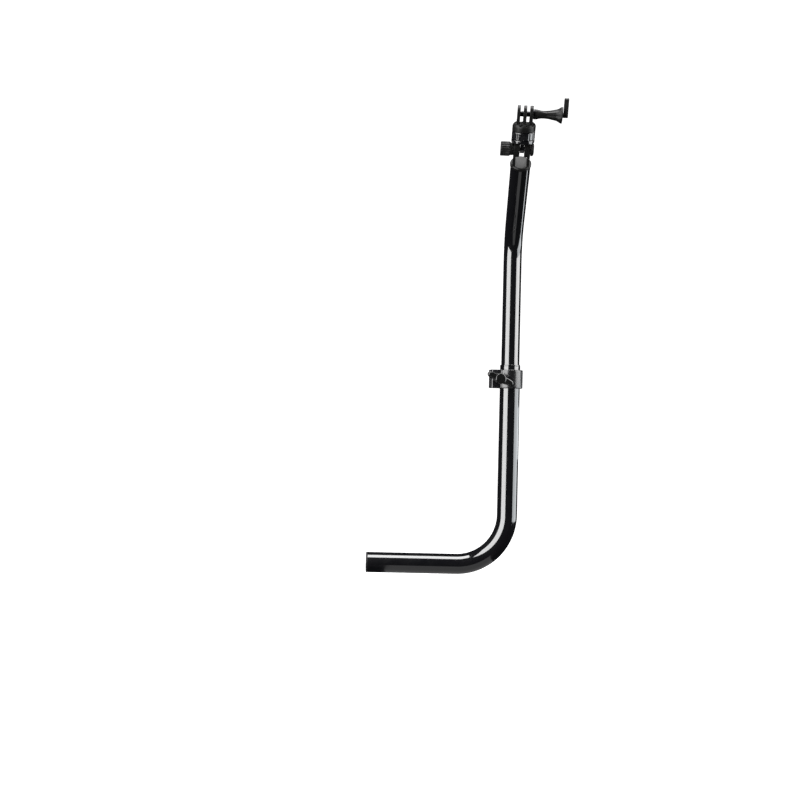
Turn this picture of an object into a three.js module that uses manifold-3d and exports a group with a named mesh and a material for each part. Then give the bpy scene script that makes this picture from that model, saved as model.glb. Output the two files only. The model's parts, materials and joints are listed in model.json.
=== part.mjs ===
// A J-shaped two-stage extension pole that carries an action camera on a three-prong head.
// Millimetres, +Z up. The origin is the middle of the flat end face of the horizontal arm.
// The arm runs along +X, bends up into the pole, and the upper stage leans towards -Y.
import * as THREE from 'three';
import { mergeVertices } from 'three/addons/utils/BufferGeometryUtils.js';
import Module from 'manifold-3d';

const wasm = await Module();
wasm.setup();

// ---------------------------------------------------------------- driving dimensions

const TUBE_SIDES = 32;
const ROUND_SIDES = 28;
const SMALL_SIDES = 20;
const FIT_GAP = 0.3;        // between pieces of one body that seat in each other
const SEAT_GAP = 0.1;       // between flat faces that rest on each other, square to the axes
const TURN_GAP = 0.35;      // between pieces that turn against each other
const SLIDE_GAP = 0.2;      // between the two stages
const CUT_MARGIN = 1;       // how far a cutting shape runs past what it cuts
const EDGE = 0.5;           // chamfer on the edges of turned and moulded pieces
const HEAD_DIAMETER = 22.6; // platform, lock ring and camera adapter
const POLE_HEIGHT = 222.2;  // top of the lower stage above the arm's axis
const UPPER_BEND = THREE.MathUtils.degToRad(55);
const SWIVEL = THREE.MathUtils.degToRad(-3.8);      // upper stage about the pole at rest
const HEAD_TWIST = THREE.MathUtils.degToRad(-3.6);  // head about the end of the upper tube
const HEAD_LEAN = THREE.MathUtils.degToRad(33);     // camera seat forward of upright at rest

const lowerTube = { diameter: 22.2, wall: 0.9, arm: 98, bendRadius: 55.5, bendSteps: 10 };
lowerTube.bore = lowerTube.diameter - 2 * lowerTube.wall;
const endPlug = { head: 2, spigot: 12, wall: 2 };
const mouthRing = { height: 1.5 };

const upperTube = { wall: 1, insertion: 65, exposed: 111, bendRadius: 50, bendSteps: 8, end: 78.6 };
upperTube.diameter = lowerTube.bore - 2 * SLIDE_GAP;
upperTube.bore = upperTube.diameter - 2 * upperTube.wall;
const guideBush = { flange: 3, spigot: 10, wall: 2 };

const clampBolt = { diameter: 5, pastNut: 0.6, intoKnob: 5.5 };
const clampNut = { acrossFlats: 8, height: 4, pocket: 3.2 };
const clampWasher = { rim: 1.7, thickness: 1 };
clampWasher.diameter = clampBolt.diameter + 2 * clampWasher.rim;
const clamp = { height: 20.5, wall: 2.9, belowMouth: 5.6, earThickness: 5.5, slit: 2 };
clamp.outer = lowerTube.diameter / 2 + clamp.wall;
clamp.boltStandOff = 2;             // from the collar's outside to the bolt's axis
clamp.boltOffset = clamp.outer + clamp.boltStandOff;
clamp.earPastBolt = 6.8;
clamp.earReach = clamp.boltOffset + clamp.earPastBolt;
clamp.halfEars = clamp.slit / 2 + clamp.earThickness;
clamp.earTurn = THREE.MathUtils.degToRad(190.5);    // where the ears point, about the pole
const wingKnob = { hub: 5.8, tip: 3.1, root: 4.6, span: 30.4, sweep: 1.5, wing: 3.8 };
wingKnob.boss = clampWasher.diameter / 2;
wingKnob.crown = 0.5;               // how far the hub stands past the wings
wingKnob.turn = THREE.MathUtils.degToRad(29);

const tiltBolt = { diameter: 4, intoKnob: 9.5 };
const tiltNut = { acrossFlats: 7, height: 3.2, sink: 2.2 };
const tiltWasher = { rim: 3.9, thickness: 0.5 };
tiltWasher.diameter = tiltBolt.diameter + 2 * tiltWasher.rim;
const tiltKnob = { diameter: 13.9, length: 12, ribs: 18, ribDepth: 0.5, neck: 6, chamfer: 0.7 };
const nutCover = { wall: 1.9, length: 3.1, end: 0.8, round: 1.8 };
nutCover.radius = tiltNut.acrossFlats / Math.sqrt(3) + FIT_GAP + nutCover.wall;

const tongue = { thickness: 4, wall: 1.7 };
tongue.width = tiltBolt.diameter + 2 * tongue.wall;
const fork = { width: 16.4, floorSlot: 11.6, bossRadius: 6.7, bossDrop: 1, pivotHeight: 15.8 };
fork.slot = tongue.thickness + 2 * FIT_GAP;
const cap = { lip: 0.6, collar: 3.8, spigot: 12, chamfer: 1.1, wall: 1.7 };
cap.diameter = upperTube.diameter + 2 * cap.lip;

const platform = { clearance: 0.4, thickness: 3.2 };
platform.underside = Math.max(tiltKnob.neck, fork.bossRadius, nutCover.radius) + platform.clearance;
platform.top = platform.underside + platform.thickness;
const stud = { diameter: 6.35, sink: 1.2, tangSkin: 0.9, tangEdge: 1.2, tangAboveBolt: 1.2, shortOfTop: 0.2 };
const lockRing = { height: 7.35, notches: 12, notchDepth: 0.25 };
const insert = { wall: 1.2, height: 3.9 };
insert.diameter = stud.diameter + 2 * (TURN_GAP + insert.wall);
const adapter = { roof: 1.4, shoulder: 3.7, slotDepth: 1.95 };
const prong = { thickness: 3, gap: 3.1, endRadius: 7.75, rise: 7.8 };
prong.span = 3 * prong.thickness + 2 * prong.gap;

const thumbBolt = { diameter: 4.8, intoKnob: 3 };
const thumbWasher = { rim: 2.1, thickness: 0.8 };
thumbWasher.diameter = thumbBolt.diameter + 2 * thumbWasher.rim;
const prongInsert = { wall: 1.25, recess: 0.2 };
prongInsert.diameter = thumbBolt.diameter + 2 * (TURN_GAP + prongInsert.wall);
const thumbKnob = { wall: 2, stem: 26.4, waist: 3.6, waistFrom: 6, waistTo: 10.5 };
thumbKnob.neck = thumbBolt.diameter / 2 + FIT_GAP + thumbKnob.wall;
thumbKnob.bell = { root: 5.1, radius: 7.7, length: 6.2 };
thumbKnob.groove = { radius: 2.2, width: 0.9 };
thumbKnob.wing = { thickness: 4.3, root: 2.4, tip: 3, reach: 16.4 };

// ---------------------------------------------------------------- places worked out from them

const POLE_X = endPlug.head + lowerTube.arm + lowerTube.bendRadius;
const MOUTH_SEAT = POLE_HEIGHT - mouthRing.height - SEAT_GAP;
const COLLAR_TOP = POLE_HEIGHT - clamp.belowMouth;
const COLLAR_BOTTOM = COLLAR_TOP - clamp.height;
const COLLAR_MIDDLE = (COLLAR_TOP + COLLAR_BOTTOM) / 2;
const LOCK_RING_BASE = platform.top + TURN_GAP;
const ADAPTER_BASE = LOCK_RING_BASE + lockRing.height + TURN_GAP;
const INSERT_TOP = ADAPTER_BASE + insert.height;
const SLOT_FLOOR = INSERT_TOP + FIT_GAP + adapter.roof;
const ADAPTER_TOP = SLOT_FLOOR + adapter.slotDepth;
const PRONG_AXIS = ADAPTER_TOP + prong.rise;
const CLAMP_NUT_SEAT = clampNut.pocket - clamp.halfEars - FIT_GAP;
const CLAMP_KNOB_SEAT = clamp.halfEars + TURN_GAP + clampWasher.thickness + SEAT_GAP;
const NUT_SEAT = fork.width / 2 - tiltNut.sink + FIT_GAP;
const COVER_SEAT = fork.width / 2 + FIT_GAP;
const TILT_KNOB_SEAT = -fork.width / 2 - TURN_GAP - tiltWasher.thickness - FIT_GAP;
const THUMB_KNOB_SEAT = prong.span / 2 + TURN_GAP + thumbWasher.thickness + FIT_GAP;

// ---------------------------------------------------------------- materials

function plain(color, roughness, metalness) {
  return new THREE.MeshStandardMaterial({ color, roughness, metalness });
}

const glossBlack = plain(0x0b0b0d, 0.12, 0.1);
const mattBlack = plain(0x17181a, 0.6, 0);
const satinBlack = plain(0x131416, 0.35, 0.05);
const zincSteel = plain(0xb9bcc0, 0.3, 1);
const blackSteel = plain(0x26272a, 0.35, 1);
const brass = plain(0xc7a256, 0.35, 1);
const nylon = plain(0x2a2b2d, 0.5, 0);

// ---------------------------------------------------------------- shape helpers

// A closed geometry as a manifold solid, for joining and cutting.
function solid(geometry) {
  const bare = geometry.clone();
  bare.deleteAttribute('normal');
  bare.deleteAttribute('uv');
  const merged = mergeVertices(bare, 1e-4);
  const vertProperties = new Float32Array(merged.attributes.position.array);
  const triVerts = new Uint32Array(merged.index.array);
  return new wasm.Manifold(new wasm.Mesh({ numProp: 3, vertProperties, triVerts }));
}

// A manifold solid back as a geometry.
function geometryOf(manifold) {
  const mesh = manifold.getMesh();
  const geometry = new THREE.BufferGeometry();
  const positions = new Float32Array(mesh.numVert * 3);
  for (let vertex = 0; vertex < mesh.numVert; vertex += 1) {
    for (let axis = 0; axis < 3; axis += 1) {
      positions[3 * vertex + axis] = mesh.vertProperties[mesh.numProp * vertex + axis];
    }
  }
  geometry.setAttribute('position', new THREE.BufferAttribute(positions, 3));
  geometry.setIndex(new THREE.BufferAttribute(new Uint32Array(mesh.triVerts), 1));
  return geometry;
}

const join = (first, ...others) => others.reduce((sum, other) => sum.add(other), first);
const cut = (first, ...others) => others.reduce((rest, other) => rest.subtract(other), first);

// A solid of revolution about +Z from [radius, height] points that start and end on the axis.
function turned(points, sides = ROUND_SIDES) {
  const profile = points.map(([radius, height]) => new THREE.Vector2(radius, height));
  return solid(new THREE.LatheGeometry(profile, sides).rotateX(Math.PI / 2));
}

// A round bar about +Z with an optional chamfer at each end.
function bar(radius, from, to, sides = ROUND_SIDES, chamferFrom = 0, chamferTo = 0) {
  const points = [[0, from], [radius - chamferFrom, from]];
  if (chamferFrom > 0) {
    points.push([radius, from + chamferFrom]);
  }
  if (chamferTo > 0) {
    points.push([radius, to - chamferTo]);
  }
  points.push([radius - chamferTo, to], [0, to]);
  return turned(points, sides);
}

// A block from its lowest and highest corners.
function block(low, high) {
  const size = high.map((value, axis) => value - low[axis]);
  const middle = high.map((value, axis) => (value + low[axis]) / 2);
  return solid(new THREE.BoxGeometry(...size).translate(...middle));
}

// A flat outline in XY raised along +Z.
function raised(shape, from, to, curveSegments = 6) {
  const settings = { depth: to - from, bevelEnabled: false, curveSegments };
  return solid(new THREE.ExtrudeGeometry(shape, settings).translate(0, 0, from));
}

// A hexagon across its flats, raised along +Z.
function hexagon(acrossFlats, from, to) {
  return bar(acrossFlats / Math.sqrt(3), from, to, 6);
}

// A closed outline from a radius given as a function of the turn, sampled evenly.
function polarShape(samples, radiusAt) {
  const points = [];
  for (let index = 0; index < samples; index += 1) {
    const turn = (2 * Math.PI * index) / samples;
    points.push(new THREE.Vector2(Math.cos(turn), Math.sin(turn)).multiplyScalar(radiusAt(index, turn)));
  }
  return new THREE.Shape(points);
}

// Two circles wrapped by their outer tangents: the first at the origin, the second along +X.
function paddle(rootRadius, tipRadius, distance, offset = 0) {
  const reach = Math.hypot(distance, offset);
  const heading = Math.atan2(offset, distance);
  const lean = Math.acos((rootRadius - tipRadius) / reach);
  const shape = new THREE.Shape();
  shape.absarc(0, 0, rootRadius, heading + lean, heading - lean + 2 * Math.PI, false);
  shape.absarc(distance, offset, tipRadius, heading - lean, heading + lean, false);
  return shape;
}

// Straight, bend, straight: sections fall only at the ends and along the bend.
class BentPath extends THREE.Curve {
  constructor(start, forward, inward, lengths, radius, angle, steps) {
    super();
    Object.assign(this, { start, forward, inward, lengths, radius, angle, steps });
  }

  stations() {
    return this.steps + 2;
  }

  // How far round the bend a station is, and how much straight tube lies before and after it.
  placeAt(u) {
    const station = u * this.stations();
    const turn = THREE.MathUtils.clamp((station - 1) / this.steps, 0, 1) * this.angle;
    const before = Math.min(station, 1) * this.lengths[0];
    const after = Math.max(station - this.stations() + 1, 0) * this.lengths[1];
    return { turn, before, after };
  }

  getPoint(u, target = new THREE.Vector3()) {
    const { turn, before, after } = this.placeAt(u);
    const along = before + this.radius * Math.sin(turn) + after * Math.cos(turn);
    const across = this.radius * (1 - Math.cos(turn)) + after * Math.sin(turn);
    return target.copy(this.start).addScaledVector(this.forward, along).addScaledVector(this.inward, across);
  }

  getPointAt(u, target) {
    return this.getPoint(u, target);
  }

  getTangentAt(u, target = new THREE.Vector3()) {
    const { turn } = this.placeAt(u);
    target.copy(this.forward).multiplyScalar(Math.cos(turn));
    return target.addScaledVector(this.inward, Math.sin(turn)).normalize();
  }
}

// A hollow round tube along a bent path.
function bentTube(path, diameter, bore) {
  const ring = polarShape(TUBE_SIDES, () => diameter / 2);
  ring.holes.push(new THREE.Path(polarShape(TUBE_SIDES, () => bore / 2).getPoints()));
  const settings = { steps: path.stations(), extrudePath: path, bevelEnabled: false };
  return solid(new THREE.ExtrudeGeometry(ring, settings));
}

// A round hole about +Z that runs past both ends of what it cuts.
function hole(radius, from, to) {
  return bar(radius, from - CUT_MARGIN, to + CUT_MARGIN, SMALL_SIDES);
}

// A washer or plain bush about +Z.
function bush(radius, boreRadius, from, to, sides = SMALL_SIDES) {
  return cut(bar(radius, from, to, sides), hole(boreRadius, from, to));
}

// Turns a solid that was made about +Z so that it lies along +X.
const alongX = (manifold) => manifold.rotate([0, 90, 0]);

// Adds a named mesh to a group.
function place(group, name, manifold, material) {
  const mesh = new THREE.Mesh(geometryOf(manifold), material);
  mesh.name = name;
  group.add(mesh);
}

// Adds an empty group to another, for a place that several pieces share.
function within(parent) {
  const child = new THREE.Group();
  parent.add(child);
  return child;
}

// ---------------------------------------------------------------- lower stage

function makeLowerTube() {
  const x = new THREE.Vector3(1, 0, 0);
  const z = new THREE.Vector3(0, 0, 1);
  const start = new THREE.Vector3(endPlug.head + SEAT_GAP, 0, 0);
  const lengths = [lowerTube.arm - SEAT_GAP, MOUTH_SEAT - lowerTube.bendRadius];
  const path = new BentPath(start, x, z, lengths, lowerTube.bendRadius, Math.PI / 2, lowerTube.bendSteps);
  const tube = bentTube(path, lowerTube.diameter, lowerTube.bore);
  const slit = block(
    [0, -clamp.slit / 2, COLLAR_BOTTOM + clamp.slit],
    [lowerTube.diameter, clamp.slit / 2, POLE_HEIGHT + CUT_MARGIN],
  );
  const turn = THREE.MathUtils.radToDeg(clamp.earTurn);
  return cut(tube, slit.rotate([0, 0, turn]).translate([POLE_X, 0, 0]));
}

function makeEndPlug() {
  const spigot = lowerTube.bore / 2 - FIT_GAP;
  const end = endPlug.head + endPlug.spigot;
  const body = turned([
    [0, 0],
    [lowerTube.diameter / 2, 0],
    [lowerTube.diameter / 2, endPlug.head],
    [spigot, endPlug.head],
    [spigot, end],
    [spigot - endPlug.wall, end],
    [spigot - endPlug.wall, endPlug.head],
    [0, endPlug.head],
  ]);
  return alongX(body);
}

function makeMouthRing() {
  const outside = bar(lowerTube.diameter / 2, MOUTH_SEAT + SEAT_GAP, POLE_HEIGHT, TUBE_SIDES);
  const inside = bar(lowerTube.bore / 2, MOUTH_SEAT - CUT_MARGIN, POLE_HEIGHT + CUT_MARGIN, TUBE_SIDES);
  return cut(outside, inside);
}

// The collar is made with its ears along +X and its screw along +Y, then turned into place.
function makeClampCollar() {
  const inner = lowerTube.diameter / 2 + SEAT_GAP;
  const low = COLLAR_BOTTOM - CUT_MARGIN;
  const high = COLLAR_TOP + CUT_MARGIN;
  const ring = bar(clamp.outer, COLLAR_BOTTOM, COLLAR_TOP, TUBE_SIDES, EDGE, EDGE);
  const ears = block([inner, -clamp.halfEars, COLLAR_BOTTOM], [clamp.earReach, clamp.halfEars, COLLAR_TOP]);
  const bore = bar(inner, low, high, TUBE_SIDES);
  const slit = block([0, -clamp.slit / 2, low], [clamp.earReach + CUT_MARGIN, clamp.slit / 2, high]);
  const boltHole = hole(clampBolt.diameter / 2 + TURN_GAP, -clamp.halfEars, clamp.halfEars);
  const pocketFlats = clampNut.acrossFlats + 2 * FIT_GAP;
  const pocket = hexagon(pocketFlats, -clamp.outer - CUT_MARGIN, clampNut.pocket - clamp.halfEars);
  const spotRadius = clampWasher.diameter / 2 + TURN_GAP;
  const spotFace = bar(spotRadius, clamp.halfEars, clamp.outer + CUT_MARGIN, SMALL_SIDES);
  const screwCuts = join(boltHole, pocket, spotFace).rotate([-90, 0, 0]);
  return cut(join(ring, ears), bore, slit, screwCuts.translate([clamp.boltOffset, 0, COLLAR_MIDDLE]));
}

function makeClampNut() {
  const end = CLAMP_NUT_SEAT - clampNut.height;
  const thread = hole(clampBolt.diameter / 2 + TURN_GAP, end, CLAMP_NUT_SEAT);
  return cut(hexagon(clampNut.acrossFlats, end, CLAMP_NUT_SEAT), thread);
}

// ---------------------------------------------------------------- clamp screw

// The screw's pieces are made about +Z, which is the screw's axis, with the slit at zero.
function makeClampBolt() {
  const end = CLAMP_NUT_SEAT - clampNut.height - clampBolt.pastNut;
  const tip = CLAMP_KNOB_SEAT + clampBolt.intoKnob - FIT_GAP;
  return bar(clampBolt.diameter / 2, end, tip, SMALL_SIDES, EDGE, 0);
}

function makeClampWasher() {
  const from = clamp.halfEars + TURN_GAP;
  const to = from + clampWasher.thickness;
  return bush(clampWasher.diameter / 2, clampBolt.diameter / 2 + FIT_GAP, from, to);
}

// The wings stand clear of the collar, because they sweep across its front.
function makeWingKnob() {
  const wingFrom = clamp.outer + 2 * TURN_GAP;
  const wingTo = wingFrom + wingKnob.wing;
  const boss = bar(wingKnob.boss, CLAMP_KNOB_SEAT, wingTo, SMALL_SIDES);
  const hub = bar(wingKnob.hub, wingFrom, wingTo + wingKnob.crown, SMALL_SIDES, EDGE, EDGE);
  const reach = wingKnob.span / 2 - wingKnob.tip;
  const outline = paddle(wingKnob.root, wingKnob.tip, reach, wingKnob.sweep);
  const wing = raised(outline, wingFrom, wingTo);
  const wings = join(boss, hub, wing, wing.rotate([0, 0, 180]));
  const threadEnd = CLAMP_KNOB_SEAT + clampBolt.intoKnob;
  const thread = bar(clampBolt.diameter / 2 + FIT_GAP, CLAMP_KNOB_SEAT - CUT_MARGIN, threadEnd, SMALL_SIDES);
  return cut(wings.rotate([0, 0, -THREE.MathUtils.radToDeg(wingKnob.turn)]), thread);
}

// ---------------------------------------------------------------- upper stage

// The upper stage is made about its own straight stem: +Z along the stem, zero at the mouth.
function makeGuideBush() {
  const spigot = upperTube.bore / 2 - TURN_GAP;
  const flange = lowerTube.bore / 2 - FIT_GAP;
  const top = guideBush.spigot - upperTube.insertion;
  const seat = -upperTube.insertion - TURN_GAP;
  const foot = seat - guideBush.flange;
  const plug = turned([
    [0, foot],
    [flange, foot],
    [flange, seat],
    [spigot, seat],
    [spigot, top],
    [0, top],
  ], TUBE_SIDES);
  return cut(plug, hole(spigot - guideBush.wall, foot, top));
}

function upperPath() {
  const up = new THREE.Vector3(0, 0, 1);
  const forward = new THREE.Vector3(0, -1, 0);
  const start = new THREE.Vector3(0, 0, -upperTube.insertion);
  const lengths = [upperTube.insertion + upperTube.exposed, upperTube.end];
  return new BentPath(start, up, forward, lengths, upperTube.bendRadius, UPPER_BEND, upperTube.bendSteps);
}

function makeUpperTube() {
  return bentTube(upperPath(), upperTube.diameter, upperTube.bore);
}

// The cap is made about the tube's end: +Z outwards, zero at the floor of its fork.
function makeTopCap() {
  const edge = cap.diameter / 2;
  const half = fork.width / 2;
  const spigot = upperTube.bore / 2 - FIT_GAP;
  const foot = -cap.collar - cap.spigot;
  const body = turned([
    [0, foot],
    [spigot, foot],
    [spigot, -cap.collar + FIT_GAP],
    [edge, -cap.collar + FIT_GAP],
    [edge, -cap.chamfer],
    [edge - cap.chamfer, 0],
    [0, 0],
  ]);
  const hollow = bar(spigot - cap.wall, foot - CUT_MARGIN, -cap.collar);
  const atPivot = (manifold) => alongX(manifold).translate([0, 0, fork.pivotHeight]);
  const arms = block([-half, -fork.bossRadius, -cap.chamfer], [half, fork.bossRadius, fork.pivotHeight]);
  const shanks = arms.intersect(bar(edge, -cap.chamfer, fork.pivotHeight));
  const inset = block([-fork.floorSlot / 2, -edge, 0], [fork.floorSlot / 2, edge, fork.pivotHeight]);
  const boss = atPivot(bar(fork.bossRadius, -half, half));
  const lobe = boss.translate([0, 0, -fork.bossDrop]);
  const low = fork.pivotHeight - fork.bossDrop;
  const cheeks = block([-half, -fork.bossRadius, low], [half, fork.bossRadius, fork.pivotHeight]);
  const slotTop = fork.pivotHeight + fork.bossRadius + CUT_MARGIN;
  const slot = block([-fork.slot / 2, -edge, 0], [fork.slot / 2, edge, slotTop]);
  const boltHole = atPivot(hole(tiltBolt.diameter / 2 + TURN_GAP, -half, half));
  const nutFlats = tiltNut.acrossFlats + 2 * FIT_GAP;
  const nutPocket = atPivot(hexagon(nutFlats, half - tiltNut.sink, half + CUT_MARGIN));
  return cut(join(body, cut(shanks, inset), boss, lobe, cheeks), slot, boltHole, nutPocket, hollow);
}

// The tilt pieces are made with the pivot along +X, zero at the middle of the fork.
function makeTiltNut() {
  const to = NUT_SEAT + tiltNut.height;
  const thread = hole(tiltBolt.diameter / 2 + TURN_GAP, NUT_SEAT, to);
  return alongX(cut(hexagon(tiltNut.acrossFlats, NUT_SEAT, to), thread));
}

function makeNutCover() {
  const to = COVER_SEAT + nutCover.length;
  const edge = nutCover.radius;
  const shoulder = nutCover.round * (1 - Math.SQRT1_2);
  const dome = turned([
    [0, COVER_SEAT],
    [edge - EDGE, COVER_SEAT],
    [edge, COVER_SEAT + EDGE],
    [edge, to - nutCover.round],
    [edge - shoulder, to - shoulder],
    [edge - nutCover.round, to],
    [0, to],
  ]);
  const pocket = hexagon(tiltNut.acrossFlats + 2 * FIT_GAP, COVER_SEAT - CUT_MARGIN, to - nutCover.end);
  return alongX(cut(dome, pocket));
}

function makeTiltBolt() {
  const from = TILT_KNOB_SEAT - tiltBolt.intoKnob + FIT_GAP;
  return alongX(bar(tiltBolt.diameter / 2, from, NUT_SEAT + tiltNut.height, SMALL_SIDES));
}

function makeTiltWasher() {
  const from = TILT_KNOB_SEAT + FIT_GAP;
  const to = from + tiltWasher.thickness;
  return alongX(bush(tiltWasher.diameter / 2, tiltBolt.diameter / 2 + FIT_GAP, from, to));
}

// The knob steps down to a neck where the platform's rim passes over it.
function makeTiltKnob() {
  const edge = tiltKnob.diameter / 2;
  const from = TILT_KNOB_SEAT - tiltKnob.length;
  const drumEnd = Math.min(-HEAD_DIAMETER / 2 - TURN_GAP, TILT_KNOB_SEAT - tiltKnob.chamfer);
  const pointsPerRib = 4;
  const samples = pointsPerRib * tiltKnob.ribs;
  const onRib = (index) => index % pointsPerRib < pointsPerRib / 2;
  const ribbed = polarShape(samples, (index) => (onRib(index) ? edge : edge - tiltKnob.ribDepth));
  const envelope = bar(edge, from, drumEnd, samples, tiltKnob.ribDepth, tiltKnob.chamfer);
  const drum = raised(ribbed, from, drumEnd).intersect(envelope);
  const neck = bar(tiltKnob.neck, drumEnd - EDGE, TILT_KNOB_SEAT);
  const threadEnd = TILT_KNOB_SEAT - tiltBolt.intoKnob;
  const thread = bar(tiltBolt.diameter / 2 + FIT_GAP, threadEnd, TILT_KNOB_SEAT + CUT_MARGIN, SMALL_SIDES);
  return alongX(cut(join(drum, neck), thread));
}

// ---------------------------------------------------------------- knuckle and camera seat

// These are made about the knuckle's own axis: +Z along the stud, zero at the tilt pivot.
// The stud's flat tang is set in a pocket that stops above the tilt bolt.
function studTang() {
  const foot = tiltBolt.diameter / 2 + TURN_GAP + stud.tangAboveBolt;
  const halfThickness = tongue.thickness / 2 - stud.tangSkin - FIT_GAP;
  const halfWidth = tongue.width / 2 - stud.tangEdge - FIT_GAP;
  return { foot, halfThickness, halfWidth };
}

function makeKnuckle() {
  const half = tongue.thickness / 2;
  const blade = block([-half, -tongue.width / 2, 0], [half, tongue.width / 2, platform.top - EDGE]);
  const end = alongX(bar(tongue.width / 2, -half, half));
  const plate = bar(HEAD_DIAMETER / 2, platform.underside, platform.top, ROUND_SIDES, EDGE, 0);
  const boltHole = alongX(hole(tiltBolt.diameter / 2 + TURN_GAP, -half, half));
  const sinkFloor = platform.top - stud.sink - FIT_GAP;
  const sink = bar(stud.diameter / 2 + FIT_GAP, sinkFloor, platform.top + CUT_MARGIN);
  const tang = studTang();
  const pocketHalf = [tang.halfThickness + FIT_GAP, tang.halfWidth + FIT_GAP];
  const pocket = block([-pocketHalf[0], -pocketHalf[1], tang.foot], [...pocketHalf, platform.top]);
  return cut(join(blade, end, plate), boltHole, sink, pocket);
}

function makeStud() {
  const from = platform.top - stud.sink;
  const tip = INSERT_TOP - stud.shortOfTop;
  const tang = studTang();
  const shank = bar(stud.diameter / 2, from, tip, SMALL_SIDES, 0, EDGE);
  const flat = block(
    [-tang.halfThickness, -tang.halfWidth, tang.foot + FIT_GAP],
    [tang.halfThickness, tang.halfWidth, platform.top],
  );
  return join(shank, flat);
}

function makeLockRing() {
  const edge = HEAD_DIAMETER / 2;
  const top = LOCK_RING_BASE + lockRing.height;
  const pointsPerNotch = 6;
  const samples = pointsPerNotch * lockRing.notches;
  const inNotch = (index) => index % pointsPerNotch === 0;
  const notched = polarShape(samples, (index) => (inNotch(index) ? edge - lockRing.notchDepth : edge));
  const envelope = bar(edge, LOCK_RING_BASE, top, samples, EDGE, EDGE);
  const thread = hole(stud.diameter / 2 + TURN_GAP, LOCK_RING_BASE, top);
  return cut(raised(notched, LOCK_RING_BASE, top).intersect(envelope), thread);
}

function makeAdapter() {
  const edge = HEAD_DIAMETER / 2;
  const half = prong.span / 2;
  const round = adapter.shoulder * (1 - Math.SQRT1_2);
  const base = turned([
    [0, ADAPTER_BASE],
    [edge, ADAPTER_BASE],
    [edge, ADAPTER_TOP - adapter.shoulder],
    [edge - round, ADAPTER_TOP - round],
    [edge - adapter.shoulder, ADAPTER_TOP],
    [0, ADAPTER_TOP],
  ]);
  const atProngs = (manifold) => alongX(manifold).translate([0, 0, PRONG_AXIS]);
  const root = ADAPTER_TOP - adapter.shoulder;
  const fins = block([-half, -prong.endRadius, root], [half, prong.endRadius, PRONG_AXIS]);
  const ends = atProngs(bar(prong.endRadius, -half, half));
  const slotTop = PRONG_AXIS + prong.endRadius + CUT_MARGIN;
  const slotFrom = prong.thickness / 2;
  const slot = block([slotFrom, -edge, SLOT_FLOOR], [slotFrom + prong.gap, edge, slotTop]);
  const slots = join(slot, slot.rotate([0, 0, 180]));
  const screwHole = atProngs(hole(thumbBolt.diameter / 2 + TURN_GAP, -half, half));
  const seatRadius = prongInsert.diameter / 2 + FIT_GAP;
  const seat = atProngs(bar(seatRadius, -half - CUT_MARGIN, -half + prong.thickness - FIT_GAP, SMALL_SIDES));
  const pocket = bar(insert.diameter / 2 + FIT_GAP, ADAPTER_BASE - CUT_MARGIN, INSERT_TOP + FIT_GAP);
  return cut(join(base, fins, ends), slots, screwHole, seat, pocket);
}

function makeInsert() {
  return bush(insert.diameter / 2, stud.diameter / 2 + TURN_GAP, ADAPTER_BASE, INSERT_TOP, ROUND_SIDES);
}

// The prong pieces are made with the thumb screw along +X, zero at the middle prong.
function makeProngInsert() {
  const from = prongInsert.recess - prong.span / 2;
  const to = prong.thickness - 2 * FIT_GAP - prong.span / 2;
  return alongX(bush(prongInsert.diameter / 2, thumbBolt.diameter / 2 + TURN_GAP, from, to));
}

function makeThumbBolt() {
  const tip = THUMB_KNOB_SEAT + thumbBolt.intoKnob - FIT_GAP;
  return alongX(bar(thumbBolt.diameter / 2, FIT_GAP - prong.span / 2, tip, SMALL_SIDES, EDGE, 0));
}

function makeThumbWasher() {
  const from = prong.span / 2 + TURN_GAP;
  const to = from + thumbWasher.thickness;
  return alongX(bush(thumbWasher.diameter / 2, thumbBolt.diameter / 2 + FIT_GAP, from, to));
}

// A waisted stem that opens into a bell, then a groove and one wing that stands up for the thumb.
function makeThumbKnob() {
  const base = THUMB_KNOB_SEAT;
  const { bell, groove, wing } = thumbKnob;
  const bellEnd = base + thumbKnob.stem;
  const wingFrom = bellEnd + groove.width;
  const wingTo = wingFrom + wing.thickness;
  const stem = turned([
    [0, base],
    [thumbKnob.neck, base],
    [thumbKnob.neck, base + thumbBolt.intoKnob + EDGE],
    [thumbKnob.waist, base + thumbKnob.waistFrom],
    [thumbKnob.waist, base + thumbKnob.waistTo],
    [bell.root, bellEnd - bell.length],
    [bell.radius, bellEnd - EDGE],
    [bell.radius, bellEnd],
    [0, bellEnd],
  ], SMALL_SIDES);
  const link = bar(groove.radius, bellEnd - EDGE, wingFrom + EDGE, SMALL_SIDES);
  const outline = paddle(wing.root, wing.tip, wing.reach - wing.tip);
  const plate = raised(outline, wingFrom, wingTo).rotate([0, 0, 180]);
  const threadEnd = base + thumbBolt.intoKnob;
  const thread = bar(thumbBolt.diameter / 2 + FIT_GAP, base - CUT_MARGIN, threadEnd, SMALL_SIDES);
  return alongX(cut(join(stem, link, plate), thread));
}

// ---------------------------------------------------------------- assembly

const group = new THREE.Group();
place(group, 'lower_tube', makeLowerTube(), glossBlack);
place(group, 'arm_end_plug', makeEndPlug(), mattBlack);

const mouth = within(group);
mouth.position.x = POLE_X;
place(mouth, 'mouth_ring', makeMouthRing(), glossBlack);

const clampEars = within(group);
clampEars.position.x = POLE_X;
clampEars.rotation.z = clamp.earTurn;
place(clampEars, 'clamp_collar', makeClampCollar(), satinBlack);

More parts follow.
